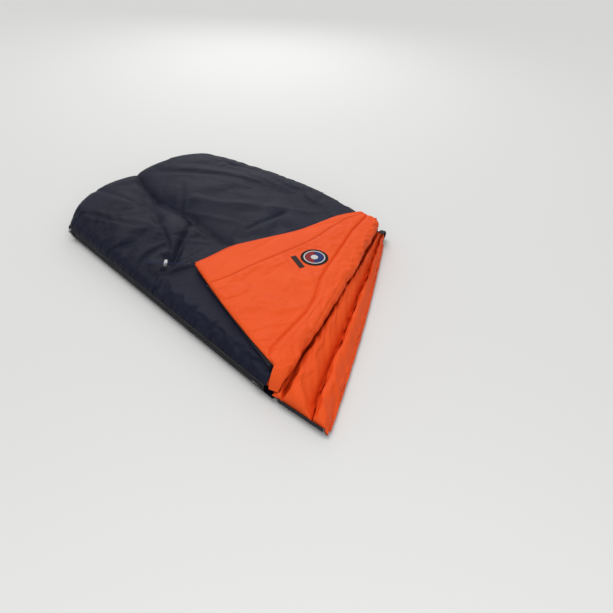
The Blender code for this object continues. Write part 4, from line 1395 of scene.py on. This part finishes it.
for (a, b), (c, d) in zip(corners, corners[1:]):
    for share in np.linspace(0, 1, 8, endpoint=False):
        back_off = mix(a, c, share)
        level = float(np.interp(TAB_LENGTH - back_off, tab_run, tab_z)) + 0.0010
        spot = np.array((*(tab_end - tab_heading * back_off), level))
        box_line.append(spot + tab_across * mix(b, d, share))
tab_stitches = row_piece("head_corner_stitches", [box_line], stitch_mesh, 0.0036, grey_thread)
sew(tab_stitches, "bag")

collar_tab_line = np.linspace((-0.014, -0.276, 0.1075), (-0.049, -0.285, 0.1060), 16)
collar_tab = strap_piece("collar_corner_tab", collar_tab_line, 0.012, 0.0014, navy_tape)
sew(collar_tab, "flap")

# ---- Patch and label ----------------------------------------------------------------------
# A round embroidered patch with a plain centre and an overlocked rim, and a woven care label
# without lettering; both are sewn to the panel's lining.
def embroidery(name, color, lit, turn):
    """Satin stitches laid side by side, at an angle to the piece, each painted lighter along its
    ridge as a sheen.
    """
    mat, tree, shader = new_material(name)
    shader.inputs["Sheen Weight"].default_value = 0.05
    shader.inputs["Specular IOR Level"].default_value = 0.15
    place = tree.nodes.new("ShaderNodeTexCoord").outputs["Object"]
    turned = node(tree, "ShaderNodeMapping", {"Vector": place, "Rotation": (0, 0, turn)})
    rows = node(tree, "ShaderNodeTexWave", {"Vector": turned.outputs[0], "Scale": 210.0,
                                            "Distortion": 1.2, "Detail": 1.0,
                                            "Detail Scale": 0.6}, wave_type="BANDS")
    woven = node(tree, "ShaderNodeGroup", node_tree=weave)
    tree.links.new(turned.outputs[0], woven.inputs["Vector"])
    woven.inputs["Thread"].default_value = 0.0011
    woven.inputs["Grid Strength"].default_value = 0.0
    # painted sheen: the colour runs to lit along each stitch's ridge, where the bump is highest
    two_tone(tree, rows.outputs["Fac"], color, lit)
    tree.links.new(math_node(tree, "MULTIPLY_ADD", rows.outputs["Fac"], -0.15, 0.75),
                   shader.inputs["Roughness"])
    ridge = math_node(tree, "ADD", rows.outputs["Fac"], woven.outputs["Height"])
    relief(tree, ridge, 0.0004, 0.8)
    return mat


def refinish(names, mat):
    """Give CAD nodes that keep their own shape a finer material."""
    for name in names:
        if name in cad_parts:
            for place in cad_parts[name].material_slots:
                place.material = mat


# each thread colour has a lighter lit copy for the painted sheen on its stitch ridges
black_thread = embroidery("patch_black_thread", (0.0035, 0.003, 0.0035),
                          (0.010, 0.009, 0.010), 0.4)
refinish(["patch_backing"], black_thread)
refinish(["patch_ring", "patch_centre"],
         embroidery("patch_white_thread", (0.46, 0.45, 0.44), (0.72, 0.71, 0.69), 1.2))
refinish(["patch_foot_half"],
         embroidery("patch_red_thread", (0.15, 0.008, 0.012), (0.30, 0.022, 0.030), 0.2))
refinish(["patch_head_half"],
         embroidery("patch_blue_thread", (0.010, 0.016, 0.085), (0.022, 0.036, 0.17), 2.0))
refinish(["label"],
         webbing("label_weave", (0.018, 0.010, 0.010), (0.050, 0.030, 0.028), 0.0011))
patch_low, patch_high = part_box("patch_backing")
patch_centre = 0.5 * (np.array(patch_low) + np.array(patch_high))
rim_radius = 0.5 * (patch_high.x - patch_low.x) * 0.985
rim_line = [patch_centre + np.array((rim_radius * math.cos(angle), rim_radius * math.sin(angle),
                                     0.0004))
            for angle in np.linspace(0, 2 * math.pi, 200)]
slanted = bead_mesh("overlock_stitch", 0.0042, 0.00075, 5)
slanted.transform(Matrix.Rotation(math.radians(68), 4, "Z"))
patch_rim = row_piece("patch_rim", [rim_line], slanted, 0.00105, black_thread, 0.05)
sew(patch_rim, "flap")

# ---- Cord lock, sliders and stops ---------------------------------------------------------
# Satin pale plastic cord lock with a steel spring, and zinc zip parts with a dark plating that
# is rubbed bright in places.
def worn(name, color, rubbed, metallic, roughness, wear_size, amount):
    """A hard finish with rubbed patches of another colour."""
    mat, tree, shader = new_material(name)
    shader.inputs["Metallic"].default_value = metallic
    marks, drift_shade = creases(tree, wear_size)
    over = math_node(tree, "SUBTRACT", marks, 0.40)
    over = math_node(tree, "MULTIPLY", over, 4.0 * amount)
    two_tone(tree, node(tree, "ShaderNodeClamp", {0: over}).outputs[0], color, rubbed)
    tree.links.new(math_node(tree, "MULTIPLY_ADD", drift_shade, 0.25, roughness - 0.12),
                   shader.inputs["Roughness"])
    relief(tree, marks, 0.0001, 0.4)
    return mat


metal = worn("dark_plating", (0.055, 0.055, 0.060), (0.30, 0.30, 0.31), 0.9, 0.36, 0.006, 0.6)
refinish(["zip_foot_stop", "hood_zip_stop", "flap_zip_stop", "zip_slider_head",
          "zip_slider_foot", "zip_pull_head", "zip_pull_foot", "cord_eyelet"], metal)
refinish(["cord_lock_barrel"],
         worn("pale_plastic", (0.50, 0.52, 0.54), (0.66, 0.67, 0.68), 0.0, 0.38, 0.004, 0.4))
refinish(["cord_lock_button"],
         worn("grey_plastic", (0.20, 0.21, 0.23), (0.36, 0.37, 0.39), 0.0, 0.42, 0.004, 0.4))
refinish(["cord_lock_spring"],
         worn("spring_wire", (0.42, 0.42, 0.42), (0.60, 0.60, 0.60), 1.0, 0.30, 0.002, 0.5))
braid = fabric("braided_cord", (0.006, 0.011, 0.040), (0.018, 0.030, 0.095), 0.68, 0.2,
               grid_strength=0.6, thread=0.0008, grid=0.0016, crumple_size=0.006,
               crumple_depth=0.0004)
refinish(["collar_cord_inside"], braid)
collar_cord.data.materials.append(braid)
cord_knot.data.materials.append(braid)
